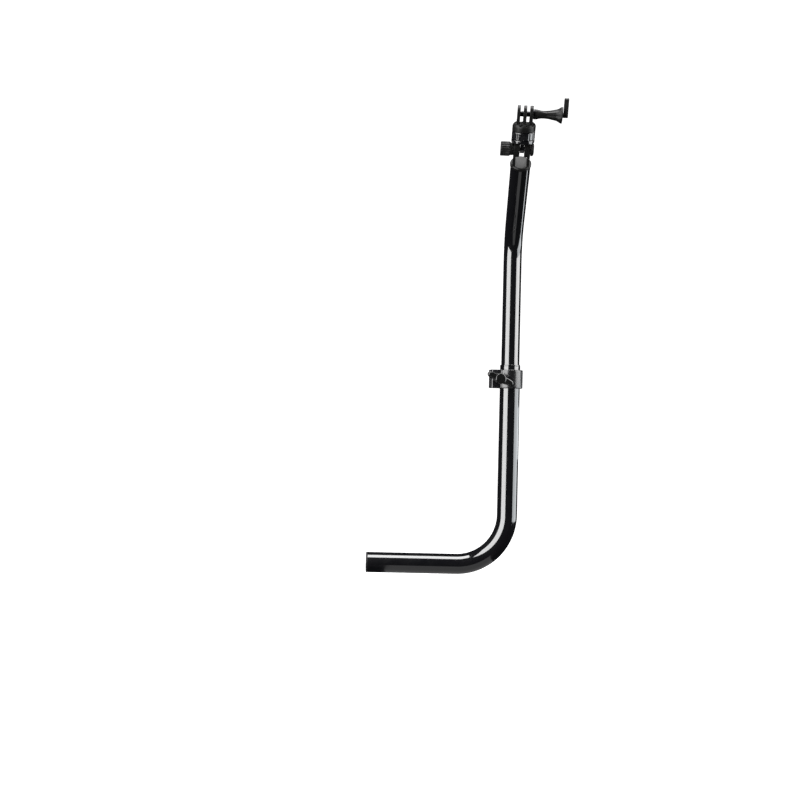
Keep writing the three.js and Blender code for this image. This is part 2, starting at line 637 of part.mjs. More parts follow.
const clampScrew = within(clampEars);
clampScrew.position.set(clamp.boltOffset, 0, COLLAR_MIDDLE);
clampScrew.rotation.x = -Math.PI / 2;
place(clampScrew, 'clamp_nut', makeClampNut(), zincSteel);
place(clampScrew, 'clamp_bolt', makeClampBolt(), zincSteel);
place(clampScrew, 'clamp_washer', makeClampWasher(), zincSteel);
place(clampScrew, 'wing_knob', makeWingKnob(), mattBlack);

const upper = within(group);
upper.position.set(POLE_X, 0, POLE_HEIGHT);
upper.rotation.z = SWIVEL;
place(upper, 'guide_bush', makeGuideBush(), nylon);
place(upper, 'upper_tube', makeUpperTube(), glossBlack);

const tubeEnd = within(upper);
tubeEnd.position.copy(upperPath().getPointAt(1));
tubeEnd.rotation.x = UPPER_BEND;

const head = within(tubeEnd);
head.position.z = cap.collar;
head.rotation.z = HEAD_TWIST;
place(head, 'top_cap', makeTopCap(), satinBlack);

const pivot = within(head);
pivot.position.z = fork.pivotHeight;
place(pivot, 'tilt_nut', makeTiltNut(), blackSteel);
place(pivot, 'nut_cover', makeNutCover(), mattBlack);
place(pivot, 'tilt_bolt', makeTiltBolt(), blackSteel);
place(pivot, 'tilt_washer', makeTiltWasher(), blackSteel);
place(pivot, 'tilt_knob', makeTiltKnob(), mattBlack);

const knuckle = within(pivot);
knuckle.rotation.x = HEAD_LEAN - UPPER_BEND;
place(knuckle, 'tilt_knuckle', makeKnuckle(), satinBlack);
place(knuckle, 'camera_stud', makeStud(), zincSteel);
place(knuckle, 'lock_ring', makeLockRing(), satinBlack);
place(knuckle, 'camera_adapter', makeAdapter(), satinBlack);
place(knuckle, 'adapter_insert', makeInsert(), brass);

const prongs = within(knuckle);
prongs.position.z = PRONG_AXIS;
prongs.rotation.x = -HEAD_LEAN;
place(prongs, 'prong_insert', makeProngInsert(), blackSteel);
place(prongs, 'thumb_bolt', makeThumbBolt(), blackSteel);
place(prongs, 'thumb_washer', makeThumbWasher(), blackSteel);
place(prongs, 'thumb_knob', makeThumbKnob(), mattBlack);

export default group;
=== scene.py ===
# %% [markdown]
# A bent black pole that holds an action camera above and behind the person who wears it.
# It is two lacquered tubes, one sliding in the other under a split clamp, with a tilting
# head and three prongs on top. The CAD model already says where every piece is and what
# turns on what. Here each visible piece is made again with a finer surface, and given a
# finish. This first cell loads the fixed frame.

# %% Load the frame
import json
import math

import bmesh
import bpy
import numpy as np
from mathutils import Matrix, Vector


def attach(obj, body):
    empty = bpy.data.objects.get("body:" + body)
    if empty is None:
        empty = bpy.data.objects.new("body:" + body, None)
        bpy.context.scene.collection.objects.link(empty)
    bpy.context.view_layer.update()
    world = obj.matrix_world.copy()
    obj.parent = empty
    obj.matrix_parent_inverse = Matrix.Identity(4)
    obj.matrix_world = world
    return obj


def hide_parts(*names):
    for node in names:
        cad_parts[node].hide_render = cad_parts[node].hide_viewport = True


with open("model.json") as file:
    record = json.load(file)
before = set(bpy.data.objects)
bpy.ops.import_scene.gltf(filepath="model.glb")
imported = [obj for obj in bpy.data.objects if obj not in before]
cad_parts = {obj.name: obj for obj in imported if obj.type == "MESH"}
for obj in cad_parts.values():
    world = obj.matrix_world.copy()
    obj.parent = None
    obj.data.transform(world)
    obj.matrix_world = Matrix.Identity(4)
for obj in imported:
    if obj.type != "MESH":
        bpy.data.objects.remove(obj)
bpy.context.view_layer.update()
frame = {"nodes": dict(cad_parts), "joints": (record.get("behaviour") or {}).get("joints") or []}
joints = {joint["name"]: joint for joint in frame["joints"]}

# %% [markdown]
# Every piece is easiest to make about its own axis, in millimetres, and is then carried to
# its place. The places come from the joints in the frame: a joint's point and axis say
# where a screw, a pivot or the pole is, so nothing is measured twice. A placement is a
# matrix whose columns are the piece's own X, Y and Z as seen in the frame.

# %% Places taken from the joints
MM = 0.001
UPPER_BEND = math.radians(55)
Z_UP = Vector((0, 0, 1))


def joint_point(name):
    return Vector(joints[name]["pos_m"])


def joint_axis(name):
    return Vector(joints[name]["axis"]).normalized()


def placement(origin, x_axis, z_axis):
    """A matrix that carries millimetres about a piece's own axes into the frame."""
    y_axis = z_axis.cross(x_axis)
    turn = Matrix((x_axis, y_axis, z_axis)).transposed().to_4x4()
    return Matrix.Translation(origin) @ turn @ Matrix.Scale(MM, 4)


pole_top = joint_point("stage_swivel")
pole_foot = Vector((pole_top.x, pole_top.y, 0))
pivot_point = joint_point("head_tilt")
forward = Vector((pivot_point.x - pole_top.x, pivot_point.y - pole_top.y, 0)).normalized()
tube_end_axis = forward * math.sin(UPPER_BEND) + Z_UP * math.cos(UPPER_BEND)
tilt_axis = joint_axis("head_tilt")
stud_axis = joint_axis("camera_pan")
clamp_point = joint_point("clamp_screw_turn")
clamp_axis = joint_axis("clamp_screw_turn")
ear_axis = Vector((clamp_point.x - pole_top.x, clamp_point.y - pole_top.y, 0)).normalized()

AT_ARM = placement(Vector((0, 0, 0)), -Z_UP, Vector((1, 0, 0)))
AT_POLE = placement(pole_foot, Vector((1, 0, 0)), Z_UP)
AT_COLLAR = placement(Vector((pole_top.x, pole_top.y, clamp_point.z)), ear_axis, Z_UP)
AT_CLAMP_SCREW = placement(clamp_point, ear_axis, clamp_axis)
AT_FORK = placement(pivot_point, tilt_axis, tube_end_axis)
AT_KNUCKLE = placement(pivot_point, tilt_axis, stud_axis)
AT_PIVOT = placement(pivot_point, -tube_end_axis, tilt_axis)
thumb_axis = joint_axis("thumb_screw_turn")
wing_up = (Z_UP - thumb_axis * Z_UP.dot(thumb_axis)).normalized()
AT_THUMB = placement(joint_point("thumb_screw_turn"), -wing_up, thumb_axis)
print("tilt pivot at", [round(value, 4) for value in pivot_point])

# %% [markdown]
# The sizes are those of the CAD model, in millimetres. The tubes are stock sizes, and the
# three prongs are a standard that every action camera fits, 3 mm thick and 3.1 mm apart.

# %% Sizes in millimetres
LOWER_TUBE, LOWER_WALL, LOWER_BEND = 22.2, 0.9, 55.5
UPPER_TUBE, UPPER_WALL, UPPER_BEND_RADIUS = 20.0, 1.0, 50.0
POLE_TOP = pole_top.z / MM
INSERTION, EXPOSED, UPPER_END = 65.0, 111.0, 78.6
PLUG_HEAD, MOUTH_RING = 2.0, 1.5
COLLAR_HEIGHT, COLLAR_RADIUS, EAR_REACH, EAR_HALF, SLIT_HALF = 20.5, 14.0, 22.8, 6.5, 1.0
BOLT_OFFSET = (clamp_point - Vector((pole_top.x, pole_top.y, clamp_point.z))).length / MM
FORK_HALF, SLOT_HALF, FLOOR_HALF, PIVOT_HEIGHT = 8.2, 2.3, 5.8, 15.8
BOSS_RADIUS, BOSS_DROP = 6.7, 1.0
CAP_RADIUS, CAP_COLLAR, CAP_CHAMFER = 10.6, 3.8, 1.1
HEAD_RADIUS, PLATFORM_LOW, PLATFORM_TOP = 11.3, 7.1, 10.3
RING_LOW, RING_TOP, NUT_SINK = 10.65, 18.0, 2.2
ADAPTER_LOW, ADAPTER_TOP, SHOULDER, SLOT_FLOOR, INSERT_TOP = 18.35, 25.9, 3.7, 23.95, 22.25
PRONG, PRONG_GAP, PRONG_HALF, PRONG_END = 3.0, 3.1, 7.6, 7.75
PRONG_AXIS = (joint_point("thumb_screw_turn") - pivot_point).length / MM
CLAMP_BORE, PIVOT_BORE, STUD_BORE, THUMB_BORE = 2.85, 2.35, 3.53, 2.75
NUT_POCKET = 7.6 / math.sqrt(3)
print("pole top", round(POLE_TOP, 1), "prong axis", round(PRONG_AXIS, 2))

# %% [markdown]
# Three ways of making a mesh cover every piece. A turned piece is a profile spun about an
# axis, with its corners rounded first. A moulded piece is a few plain solids joined and
# cut, then wrapped in a fine even mesh whose edges are smoothed, the way a mould never
# leaves a knife edge. What repeats round an axis, such as ribs, notches and screw threads,
# is made by Geometry Nodes further on.

# %% Small tools for meshes
ON_AXIS = 1e-6


def new_object(name, data):
    piece = bpy.data.objects.new(name, data)
    bpy.context.scene.collection.objects.link(piece)
    return piece


def from_bmesh(name, shape):
    bmesh.ops.recalc_face_normals(shape, faces=shape.faces)
    mesh = bpy.data.meshes.new(name)
    shape.to_mesh(mesh)
    shape.free()
    return new_object(name, mesh)


def freeze(piece):
    """Turns what the modifiers make into the piece's plain mesh."""
    graph = bpy.context.evaluated_depsgraph_get()
    mesh = bpy.data.meshes.new_from_object(piece.evaluated_get(graph), depsgraph=graph)
    piece.modifiers.clear()
    old = piece.data
    piece.data = mesh
    bpy.data.meshes.remove(old)
    return piece


def discard(*pieces):
    for piece in pieces:
        mesh = piece.data
        bpy.data.objects.remove(piece)
        bpy.data.meshes.remove(mesh)


def rounded(points, radius, steps=5):
    """The same open profile with every inner corner turned into an arc."""
    corners = [Vector(point) for point in points]
    outline = [corners[0]]
    for before, corner, after in zip(corners, corners[1:], corners[2:]):
        back, ahead = before - corner, after - corner
        room = 0.45 * min(back.length, ahead.length)
        half = back.angle(ahead) / 2
        cut = min(radius / math.tan(half), room)
        start, end = corner + back.normalized() * cut, corner + ahead.normalized() * cut
        for step in range(steps + 1):
            t = step / steps
            outline.append((1 - t) ** 2 * start + 2 * t * (1 - t) * corner + t ** 2 * end)
    outline.append(corners[-1])
    return outline


def spin_skin(points, sides):
    """Faces spun about Z through (radius, height) points. A point on the axis is one vertex."""
    shape = bmesh.new()
    angles = [2 * math.pi * side / sides for side in range(sides)]
    rings = []
    for reach, height in points:
        around = angles if reach > ON_AXIS else angles[:1]
        reach = reach if reach > ON_AXIS else 0
        rings.append([shape.verts.new((reach * math.cos(a), reach * math.sin(a), height)) for a in around])
    for low, high in zip(rings, rings[1:]):
        for side in range(sides):
            other = (side + 1) % sides
            corners = [low[side % len(low)], low[other % len(low)]]
            corners += [high[other % len(high)], high[side % len(high)]]
            unique = list(dict.fromkeys(corners))
            if len(unique) > 2:
                shape.faces.new(unique)
    return shape


def turned(name, points, radius=0.3, sides=96):
    """A solid spun about Z from (radius, height) points that start and end on the axis."""
    return from_bmesh(name, spin_skin(rounded(points, radius), sides))


def bar(name, radius, low, high, sides=96):
    return turned(name, [(0, low), (radius, low), (radius, high), (0, high)], 0.0001, sides)


def slab(name, low, high):
    shape = bmesh.new()
    bmesh.ops.create_cube(shape, size=1)
    size = Vector(high) - Vector(low)
    middle = (Vector(high) + Vector(low)) / 2
    shape.transform(Matrix.Translation(middle) @ Matrix.Diagonal((*size, 1)))
    return from_bmesh(name, shape)


def raised(name, outline, low, high):
    """A flat outline raised along Z."""
    shape = bmesh.new()
    base = shape.faces.new([shape.verts.new((x, y, low)) for x, y in outline])
    walls = bmesh.ops.extrude_face_region(shape, geom=[base])
    lifted = [item for item in walls["geom"] if isinstance(item, bmesh.types.BMVert)]
    bmesh.ops.translate(shape, vec=(0, 0, high - low), verts=lifted)
    return from_bmesh(name, shape)


def along_x(piece):
    """Lays a solid that was made about Z along X, and hands it back."""
    piece.data.transform(Matrix.Rotation(math.pi / 2, 4, "Y"))
    return piece


def moved(piece, x=0, y=0, z=0):
    piece.data.transform(Matrix.Translation((x, y, z)))
    return piece


def spun(piece, angle):
    piece.data.transform(Matrix.Rotation(angle, 4, "Z"))
    return piece


def combine(piece, others, operation):
    for other in others:
        step = piece.modifiers.new("combine", "BOOLEAN")
        step.operation = operation
        step.solver = "MANIFOLD"
        step.object = other
        freeze(piece)
    discard(*others)
    return piece


def joined(piece, *others):
    return combine(piece, others, "UNION")


def cut_by(piece, *others):
    return combine(piece, others, "DIFFERENCE")


def moulded(piece, cell=0.22, passes=6):
    """Wraps a solid in an even mesh and eases its edges, as a mould would."""
    wrap = piece.modifiers.new("wrap", "REMESH")
    wrap.mode = "VOXEL"
    wrap.voxel_size = cell
    ease = piece.modifiers.new("ease", "SMOOTH")
    ease.factor = 0.5
    ease.iterations = passes
    return freeze(piece)


print("mesh tools ready")

# %% [markdown]
# A tube that is bent from straight stock follows a simple rule: straight lines with an arc
# between them, and one round section carried along. Geometry Nodes says exactly that. The
# tree takes three points, rounds the corner to the bending radius, and sweeps a circle, so
# a longer arm or a tighter bend is one number. Its section is swept as a skin, and the
# wall gets its thickness from a Solidify modifier afterwards.

# %% Geometry Nodes: a tube bent from three points
def new_tree(name, inputs):
    """A Geometry Nodes tree with one geometry in, one out, and named inputs."""
    tree = bpy.data.node_groups.new(name, "GeometryNodeTree")
    tree.interface.new_socket("Geometry", in_out="INPUT", socket_type="NodeSocketGeometry")
    for label, kind in inputs:
        tree.interface.new_socket(label, in_out="INPUT", socket_type="NodeSocket" + kind)
    tree.interface.new_socket("Geometry", in_out="OUTPUT", socket_type="NodeSocketGeometry")
    return tree, tree.nodes.new("NodeGroupInput"), tree.nodes.new("NodeGroupOutput")


def wire(tree, source, target):
    tree.links.new(source, target)


def painted(tree, given, result, geometry):
    """The end of both trees: realize the geometry, set its finish, and put it out."""
    solid = tree.nodes.new("GeometryNodeRealizeInstances")
    paint = tree.nodes.new("GeometryNodeSetMaterial")
    wire(tree, geometry, solid.inputs["Geometry"])
    wire(tree, solid.outputs["Geometry"], paint.inputs["Geometry"])
    wire(tree, given.outputs["Finish"], paint.inputs["Material"])
    wire(tree, paint.outputs["Geometry"], result.inputs["Geometry"])
    return tree


def set_inputs(node, values):
    for label, value in values.items():
        node.inputs[label].default_value = value


def add_math(tree, operation, first, second=None, clamp=False):
    """One maths node. Each value is a number or a socket to be wired in."""
    node = tree.nodes.new("ShaderNodeMath")
    node.operation = operation
    node.use_clamp = clamp
    for socket, value in zip(node.inputs, (first, second)):
        if isinstance(value, (int, float)):
            socket.default_value = value
        elif value is not None:
            wire(tree, value, socket)
    return node.outputs[0]


def run_tree(piece, tree, values):
    """Sets the inputs by their identifiers, evaluates the tree, and keeps the plain mesh."""
    step = piece.modifiers.new(tree.name, "NODES")
    identifiers = {s.name: s.identifier for s in tree.interface.items_tree if s.in_out == "INPUT"}
    step.node_group = tree
    for label, value in values.items():
        step[identifiers[label]] = value
    return freeze(piece)


def make_bent_tube_tree():
    inputs = [("Diameter", "Float"), ("Bend Radius", "Float"), ("Bend Steps", "Int"), ("Finish", "Material")]
    tree, given, result = new_tree("bent_tube", inputs)
    line = tree.nodes.new("GeometryNodeMeshToCurve")
    bend = tree.nodes.new("GeometryNodeFilletCurve")
    bend.mode = "POLY"
    half = tree.nodes.new("ShaderNodeMath")
    half.operation = "MULTIPLY"
    half.inputs[1].default_value = 0.5
    section = tree.nodes.new("GeometryNodeCurvePrimitiveCircle")
    section.inputs["Resolution"].default_value = 128
    sweep = tree.nodes.new("GeometryNodeCurveToMesh")
    wire(tree, given.outputs["Geometry"], line.inputs["Mesh"])
    wire(tree, line.outputs["Curve"], bend.inputs["Curve"])
    wire(tree, given.outputs["Bend Steps"], bend.inputs["Count"])
    wire(tree, given.outputs["Bend Radius"], bend.inputs["Radius"])
    wire(tree, given.outputs["Diameter"], half.inputs[0])
    wire(tree, half.outputs[0], section.inputs["Radius"])
    wire(tree, bend.outputs["Curve"], sweep.inputs["Curve"])
    wire(tree, section.outputs["Curve"], sweep.inputs["Profile Curve"])
    return painted(tree, given, result, sweep.outputs["Mesh"])


bent_tube_tree = make_bent_tube_tree()
print("tree", bent_tube_tree.name, "with", len(bent_tube_tree.nodes), "nodes")

# %% [markdown]
# Grip ribs, the notches of a ring, the flutes of a knob and a screw thread are one idea: a
# wave that runs round an axis and pushes the surface in. A rib's wave depends only on the
# angle, and a thread's also climbs as it goes. One tree covers them all. It reads each
# point's angle and height, works out the wave, fades it out at both ends, and moves the
# point towards the axis.

# %% Geometry Nodes: a wave pressed in round an axis
RIPPLE_INPUTS = ["Count", "Climb", "Depth", "Power", "From", "To", "Fade", "Inner Radius"]
INNER_FADE, LEAST_REACH = 0.4, 0.001


def make_ripple_tree():
    tree, given, result = new_tree(
        "ripple",
        [(label, "Float") for label in RIPPLE_INPUTS] + [("Finish", "Material")],
    )

    def times(first, second):
        return add_math(tree, "MULTIPLY", first, second)

    def plus(first, second):
        return add_math(tree, "ADD", first, second)

    def step_up(value, start, end):
        node = tree.nodes.new("ShaderNodeMapRange")
        node.interpolation_type = "SMOOTHSTEP"
        wire(tree, value, node.inputs["Value"])
        wire(tree, start, node.inputs["From Min"])
        wire(tree, end, node.inputs["From Max"])
        return node.outputs[0]

    place = tree.nodes.new("GeometryNodeInputPosition")
    parts = tree.nodes.new("ShaderNodeSeparateXYZ")
    wire(tree, place.outputs[0], parts.inputs[0])
    x, y, z = parts.outputs
    angle = add_math(tree, "ARCTAN2", y, x)
    phase = plus(times(angle, given.outputs["Count"]), times(z, given.outputs["Climb"]))
    wave = times(plus(add_math(tree, "COSINE", phase), 1.0), 0.5)
    groove = add_math(tree, "POWER", wave, given.outputs["Power"])
    low, high, fade = given.outputs["From"], given.outputs["To"], given.outputs["Fade"]
    rise = step_up(z, low, plus(low, fade))
    fall = step_up(z, high, add_math(tree, "SUBTRACT", high, fade))
    reach = add_math(tree, "SQRT", plus(times(x, x), times(y, y)))
    inner = given.outputs["Inner Radius"]
    outside = step_up(reach, inner, plus(inner, INNER_FADE))
    depth = times(times(rise, fall), times(groove, outside))
    inward = times(times(depth, given.outputs["Depth"]), -1.0)
    share = add_math(tree, "DIVIDE", inward, add_math(tree, "MAXIMUM", reach, LEAST_REACH))
    shift = tree.nodes.new("ShaderNodeCombineXYZ")
    wire(tree, times(x, share), shift.inputs["X"])
    wire(tree, times(y, share), shift.inputs["Y"])
    push = tree.nodes.new("GeometryNodeSetPosition")
    wire(tree, given.outputs["Geometry"], push.inputs["Geometry"])
    wire(tree, shift.outputs[0], push.inputs["Offset"])
    return painted(tree, given, result, push.outputs["Geometry"])


ripple_tree = make_ripple_tree()


def ripple(piece, finish, count, depth, low, high, climb=0.0, power=1.0, fade=0.6, inner=0.0):
    numbers = (count, climb, depth, power, low, high, fade, inner)
    values = {label: float(number) for label, number in zip(RIPPLE_INPUTS, numbers)}
    return run_tree(piece, ripple_tree, {**values, "Finish": finish})


print("tree", ripple_tree.name, "with", len(ripple_tree.nodes), "nodes")

# %% [markdown]
# Real finishes are never one flat colour. Four effects come back in several materials, so
# each is a shader node group with named sockets: a fine grain for moulded plastic, worn
# edges where hands and pockets rub, a thin settled dust, and the slow ripple of lacquer
# that has flowed before it set. They put out only masks and heights, and every material
# uses them with its own strengths.

# %% Shader groups shared by the finishes
def new_group(name, inputs, outputs):
    group = bpy.data.node_groups.new(name, "ShaderNodeTree")
    for label, default in inputs:
        socket = group.interface.new_socket(label, in_out="INPUT", socket_type="NodeSocketFloat")
        socket.default_value = default
    for label in outputs:
        group.interface.new_socket(label, in_out="OUTPUT", socket_type="NodeSocketFloat")
    return group, group.nodes.new("NodeGroupInput"), group.nodes.new("NodeGroupOutput")


def times(tree, first, second, clamp=False):
    return add_math(tree, "MULTIPLY", first, second, clamp)


def add_noise(tree, where, scale, detail=3.0, roughness=0.55):
    node = tree.nodes.new("ShaderNodeTexNoise")
    set_inputs(node, {"Detail": detail, "Roughness": roughness})
    wire(tree, where, node.inputs["Vector"])
    if isinstance(scale, (int, float)):
        node.inputs["Scale"].default_value = scale
    else:
        wire(tree, scale, node.inputs["Scale"])
    return node.outputs["Fac"]


def add_ramp(tree, value, low, high):
    """Zero below low, one above high, smooth between them."""
    node = tree.nodes.new("ShaderNodeMapRange")
    node.interpolation_type = "SMOOTHSTEP"
    wire(tree, value, node.inputs["Value"])
    set_inputs(node, {"From Min": low, "From Max": high})
    return node.outputs[0]


def object_coordinates(tree):
    return tree.nodes.new("ShaderNodeTexCoord").outputs["Object"]


def make_grain_group():
    inputs = [("Scale", 2200.0), ("Spread", 0.5)]
    group, given, result = new_group("moulded_grain", inputs, ["Height", "Mottle"])
    where = object_coordinates(group)
    fine = add_noise(group, where, given.outputs["Scale"], 2.0, 0.6)
    cells = group.nodes.new("ShaderNodeTexVoronoi")
    wire(group, where, cells.inputs["Vector"])
    wire(group, given.outputs["Scale"], cells.inputs["Scale"])
    pits = add_ramp(group, cells.outputs["Distance"], 0.1, 0.6)
    height = add_math(group, "ADD", times(group, fine, 0.6), times(group, pits, 0.4))
    slow = add_noise(group, where, 90.0, 4.0, 0.6)
    mottle = times(group, add_ramp(group, slow, 0.3, 0.7), given.outputs["Spread"])
    wire(group, height, result.inputs["Height"])
    wire(group, mottle, result.inputs["Mottle"])
    return group


def make_edge_group():
    group, given, result = new_group("rubbed_edges", [("Amount", 0.5)], ["Mask"])
    point = group.nodes.new("ShaderNodeNewGeometry").outputs["Pointiness"]
    edge = add_ramp(group, point, 0.515, 0.60)
    patches = add_noise(group, object_coordinates(group), 260.0, 4.0, 0.65)
    worn = times(group, edge, add_ramp(group, patches, 0.38, 0.62))
    wire(group, times(group, worn, given.outputs["Amount"], clamp=True), result.inputs["Mask"])
    return group


def make_dust_group():
    group, given, result = new_group("settled_dust", [("Amount", 0.3)], ["Mask"])
    where = object_coordinates(group)
    normal = group.nodes.new("ShaderNodeSeparateXYZ")
    wire(group, group.nodes.new("ShaderNodeNewGeometry").outputs["Normal"], normal.inputs[0])
    upward = add_ramp(group, normal.outputs["Z"], -0.4, 1.0)
    specks = add_ramp(group, add_noise(group, where, 1500.0, 2.0, 0.5), 0.60, 0.74)
    haze = times(group, add_ramp(group, add_noise(group, where, 60.0, 5.0, 0.6), 0.4, 0.75), 0.35)
    both = add_math(group, "ADD", specks, haze)
    masked = times(group, both, add_math(group, "ADD", upward, 0.15))
    wire(group, times(group, masked, given.outputs["Amount"], clamp=True), result.inputs["Mask"])
    return group


def make_lacquer_group():
    group, given, result = new_group("flowed_lacquer", [("Peel", 1.0)], ["Height", "Smudge"])
    where = object_coordinates(group)
    peel = add_noise(group, where, 320.0, 1.0, 0.4)
    wave = add_noise(group, where, 45.0, 1.0, 0.3)
    height = add_math(group, "ADD", times(group, peel, 0.35), wave)
    stretch = group.nodes.new("ShaderNodeMapping")
    stretch.inputs["Scale"].default_value = (1.0, 1.0, 0.25)
    wire(group, where, stretch.inputs["Vector"])
    smudge = add_ramp(group, add_noise(group, stretch.outputs[0], 55.0, 6.0, 0.62), 0.45, 0.75)
    wire(group, times(group, height, given.outputs["Peel"]), result.inputs["Height"])
    wire(group, smudge, result.inputs["Smudge"])
    return group


groups = {
    "grain": make_grain_group(),
    "edges": make_edge_group(),
    "dust": make_dust_group(),
    "lacquer": make_lacquer_group(),
}
print("shader groups:", sorted(group.name for group in groups.values()))

# %% [markdown]
# A finish is one Principled shader fed by those groups. The tubes are black lacquer under
# a clear coat: almost no colour of their own, so what shows is what they mirror, broken a
# little by smudges. The clamp has a satin coat, the ring and the wing knob are polished,
# and the head and the other knobs are dull nylon with a grain. The clamp's screw and the
# stud are bright zinc, the pivot and thumb hardware is blackened, and all of it shows the
# fine rings that a lathe leaves.

# %% Tools for finishes
COAT_IOR = 1.6


def new_finish(name):
    material = bpy.data.materials.new(name)
    material.use_nodes = True
    tree = material.node_tree
    return material, tree, tree.nodes["Principled BSDF"]


def use_group(tree, key, **values):
    node = tree.nodes.new("ShaderNodeGroup")
    node.node_tree = groups[key]
    set_inputs(node, values)
    return node


def mix_colours(tree, mask, first, second):
    node = tree.nodes.new("ShaderNodeMix")
    node.data_type = "RGBA"
    wire(tree, mask, node.inputs[0])
    for socket, value in ((node.inputs[6], first), (node.inputs[7], second)):
        if isinstance(value, tuple):
            socket.default_value = (*value, 1)
        else:
            wire(tree, value, socket)
    return node.outputs[2]


def mix_values(tree, mask, first, second):
    node = tree.nodes.new("ShaderNodeMapRange")
    wire(tree, mask, node.inputs["Value"])
    set_inputs(node, {"To Min": first, "To Max": second})
    return node.outputs[0]


def add_bump(tree, height, strength, distance):
    node = tree.nodes.new("ShaderNodeBump")
    set_inputs(node, {"Strength": strength, "Distance": distance})
    wire(tree, height, node.inputs["Height"])
    return node.outputs["Normal"]


def add_coat(shader, shine, weight, roughness):
    """How strongly the surface mirrors, and the clear coat over it."""
    set_inputs(shader, {"Specular IOR Level": shine, "Coat Weight": weight})
    set_inputs(shader, {"Coat Roughness": roughness, "Coat IOR": COAT_IOR})


print("finish tools ready")

# %% Gloss black lacquer for the two tubes
def make_tube_lacquer():
    material, tree, shader = new_finish("tube_lacquer")
    lacquer = use_group(tree, "lacquer", Peel=1.0)
    dust = use_group(tree, "dust", Amount=0.10)
    colour = mix_colours(tree, dust.outputs["Mask"], (0.004, 0.004, 0.005), (0.16, 0.16, 0.15))
    wire(tree, colour, shader.inputs["Base Color"])
    wire(tree, mix_values(tree, lacquer.outputs["Smudge"], 0.09, 0.17), shader.inputs["Roughness"])
    wire(tree, add_bump(tree, lacquer.outputs["Height"], 0.10, 0.00004), shader.inputs["Normal"])
    add_coat(shader, 0.9, 1.0, 0.035)
    return material


tube_lacquer = make_tube_lacquer()

# %% Black plastics and coats, from satin to polished
RUBBED, DUST_COLOUR, BUMP_DEPTH = (0.06, 0.06, 0.062), (0.20, 0.19, 0.18), 0.00003


def make_black(name, colour, roughness, grain_scale, bump, wear, dust_amount=0.12, shine=0.5,
               coat=0.0, coat_roughness=0.1):
    """A black moulding. Shine and coat decide whether it looks matt, satin or polished."""
    material, tree, shader = new_finish(name)
    grain = use_group(tree, "grain", Scale=grain_scale, Spread=0.6)
    edges = use_group(tree, "edges", Amount=wear)
    dust = use_group(tree, "dust", Amount=dust_amount)
    lighter = tuple(2.0 * channel for channel in colour)
    body = mix_colours(tree, grain.outputs["Mottle"], colour, lighter)
    rubbed = mix_colours(tree, edges.outputs["Mask"], body, RUBBED)
    dusty = mix_colours(tree, dust.outputs["Mask"], rubbed, DUST_COLOUR)
    uneven = mix_values(tree, grain.outputs["Mottle"], roughness, roughness + 0.10)
    wire(tree, dusty, shader.inputs["Base Color"])
    wire(tree, uneven, shader.inputs["Roughness"])
    wire(tree, add_bump(tree, grain.outputs["Height"], bump, BUMP_DEPTH), shader.inputs["Normal"])
    add_coat(shader, shine, coat, coat_roughness)
    return material


JET, SOOT, COAL = (0.004, 0.004, 0.004), (0.005, 0.005, 0.005), (0.012, 0.012, 0.013)
JET_BLUE, SOOT_BLUE = (0.004, 0.004, 0.005), (0.006, 0.006, 0.007)
clamp_coat = make_black("clamp_coat", SOOT_BLUE, 0.24, 1500.0, 0.12, 0.5, 0.10, 0.7, 0.5, 0.16)
head_nylon = make_black("head_nylon", SOOT, 0.34, 2100.0, 0.22, 0.4, 0.10, 0.22)
ring_gloss = make_black("ring_gloss", JET_BLUE, 0.12, 1800.0, 0.03, 0.15, 0.03, 0.8, 1.0, 0.04)
knob_plastic = make_black("knob_plastic", JET, 0.16, 2400.0, 0.06, 0.5, 0.06, 0.6, 0.8, 0.08)
plug_nylon = make_black("plug_nylon", COAL, 0.46, 1800.0, 0.35, 0.4)

# %% Turned metal for the screws and the inserts
RINGS_PER_METRE = 24000.0


def make_turned_metal(name, colour, dull, roughness, axis):
    """Metal with fine rings round its axis, where a lathe or a brush has run."""
    material, tree, shader = new_finish(name)
    where = object_coordinates(tree)
    along = tree.nodes.new("ShaderNodeVectorMath")
    along.operation = "DOT_PRODUCT"
    wire(tree, where, along.inputs[0])
    along.inputs[1].default_value = tuple(axis)
    drift = times(tree, add_noise(tree, where, 300.0, 2.0, 0.5), 4.0)
    rings = add_math(tree, "ADD", times(tree, along.outputs["Value"], RINGS_PER_METRE), drift)
    marks = times(tree, add_math(tree, "ADD", add_math(tree, "SINE", rings), 1.0), 0.5)
    stain = add_ramp(tree, add_noise(tree, where, 420.0, 5.0, 0.6), 0.35, 0.75)
    edges = use_group(tree, "edges", Amount=0.5)
    body = mix_colours(tree, stain, colour, dull)
    wire(tree, mix_colours(tree, edges.outputs["Mask"], body, colour), shader.inputs["Base Color"])
    wire(tree, mix_values(tree, stain, roughness, roughness + 0.15), shader.inputs["Roughness"])
    wire(tree, add_bump(tree, marks, 0.2, 0.00002), shader.inputs["Normal"])
    shader.inputs["Metallic"].default_value = 1.0
    return material


ZINC, ZINC_DULL = (0.62, 0.63, 0.65), (0.38, 0.39, 0.41)
BLACKENED, BLACKENED_DULL = (0.035, 0.036, 0.04), (0.02, 0.02, 0.02)
clamp_steel = make_turned_metal("clamp_steel", ZINC, ZINC_DULL, 0.24, clamp_axis)
pivot_steel = make_turned_metal("pivot_steel", BLACKENED, BLACKENED_DULL, 0.3, tilt_axis)
stud_steel = make_turned_metal("stud_steel", ZINC, ZINC_DULL, 0.28, stud_axis)
insert_brass = make_turned_metal("insert_brass", (0.62, 0.44, 0.19), (0.36, 0.24, 0.10), 0.3, stud_axis)
print("finishes:", [material.name for material in bpy.data.materials])
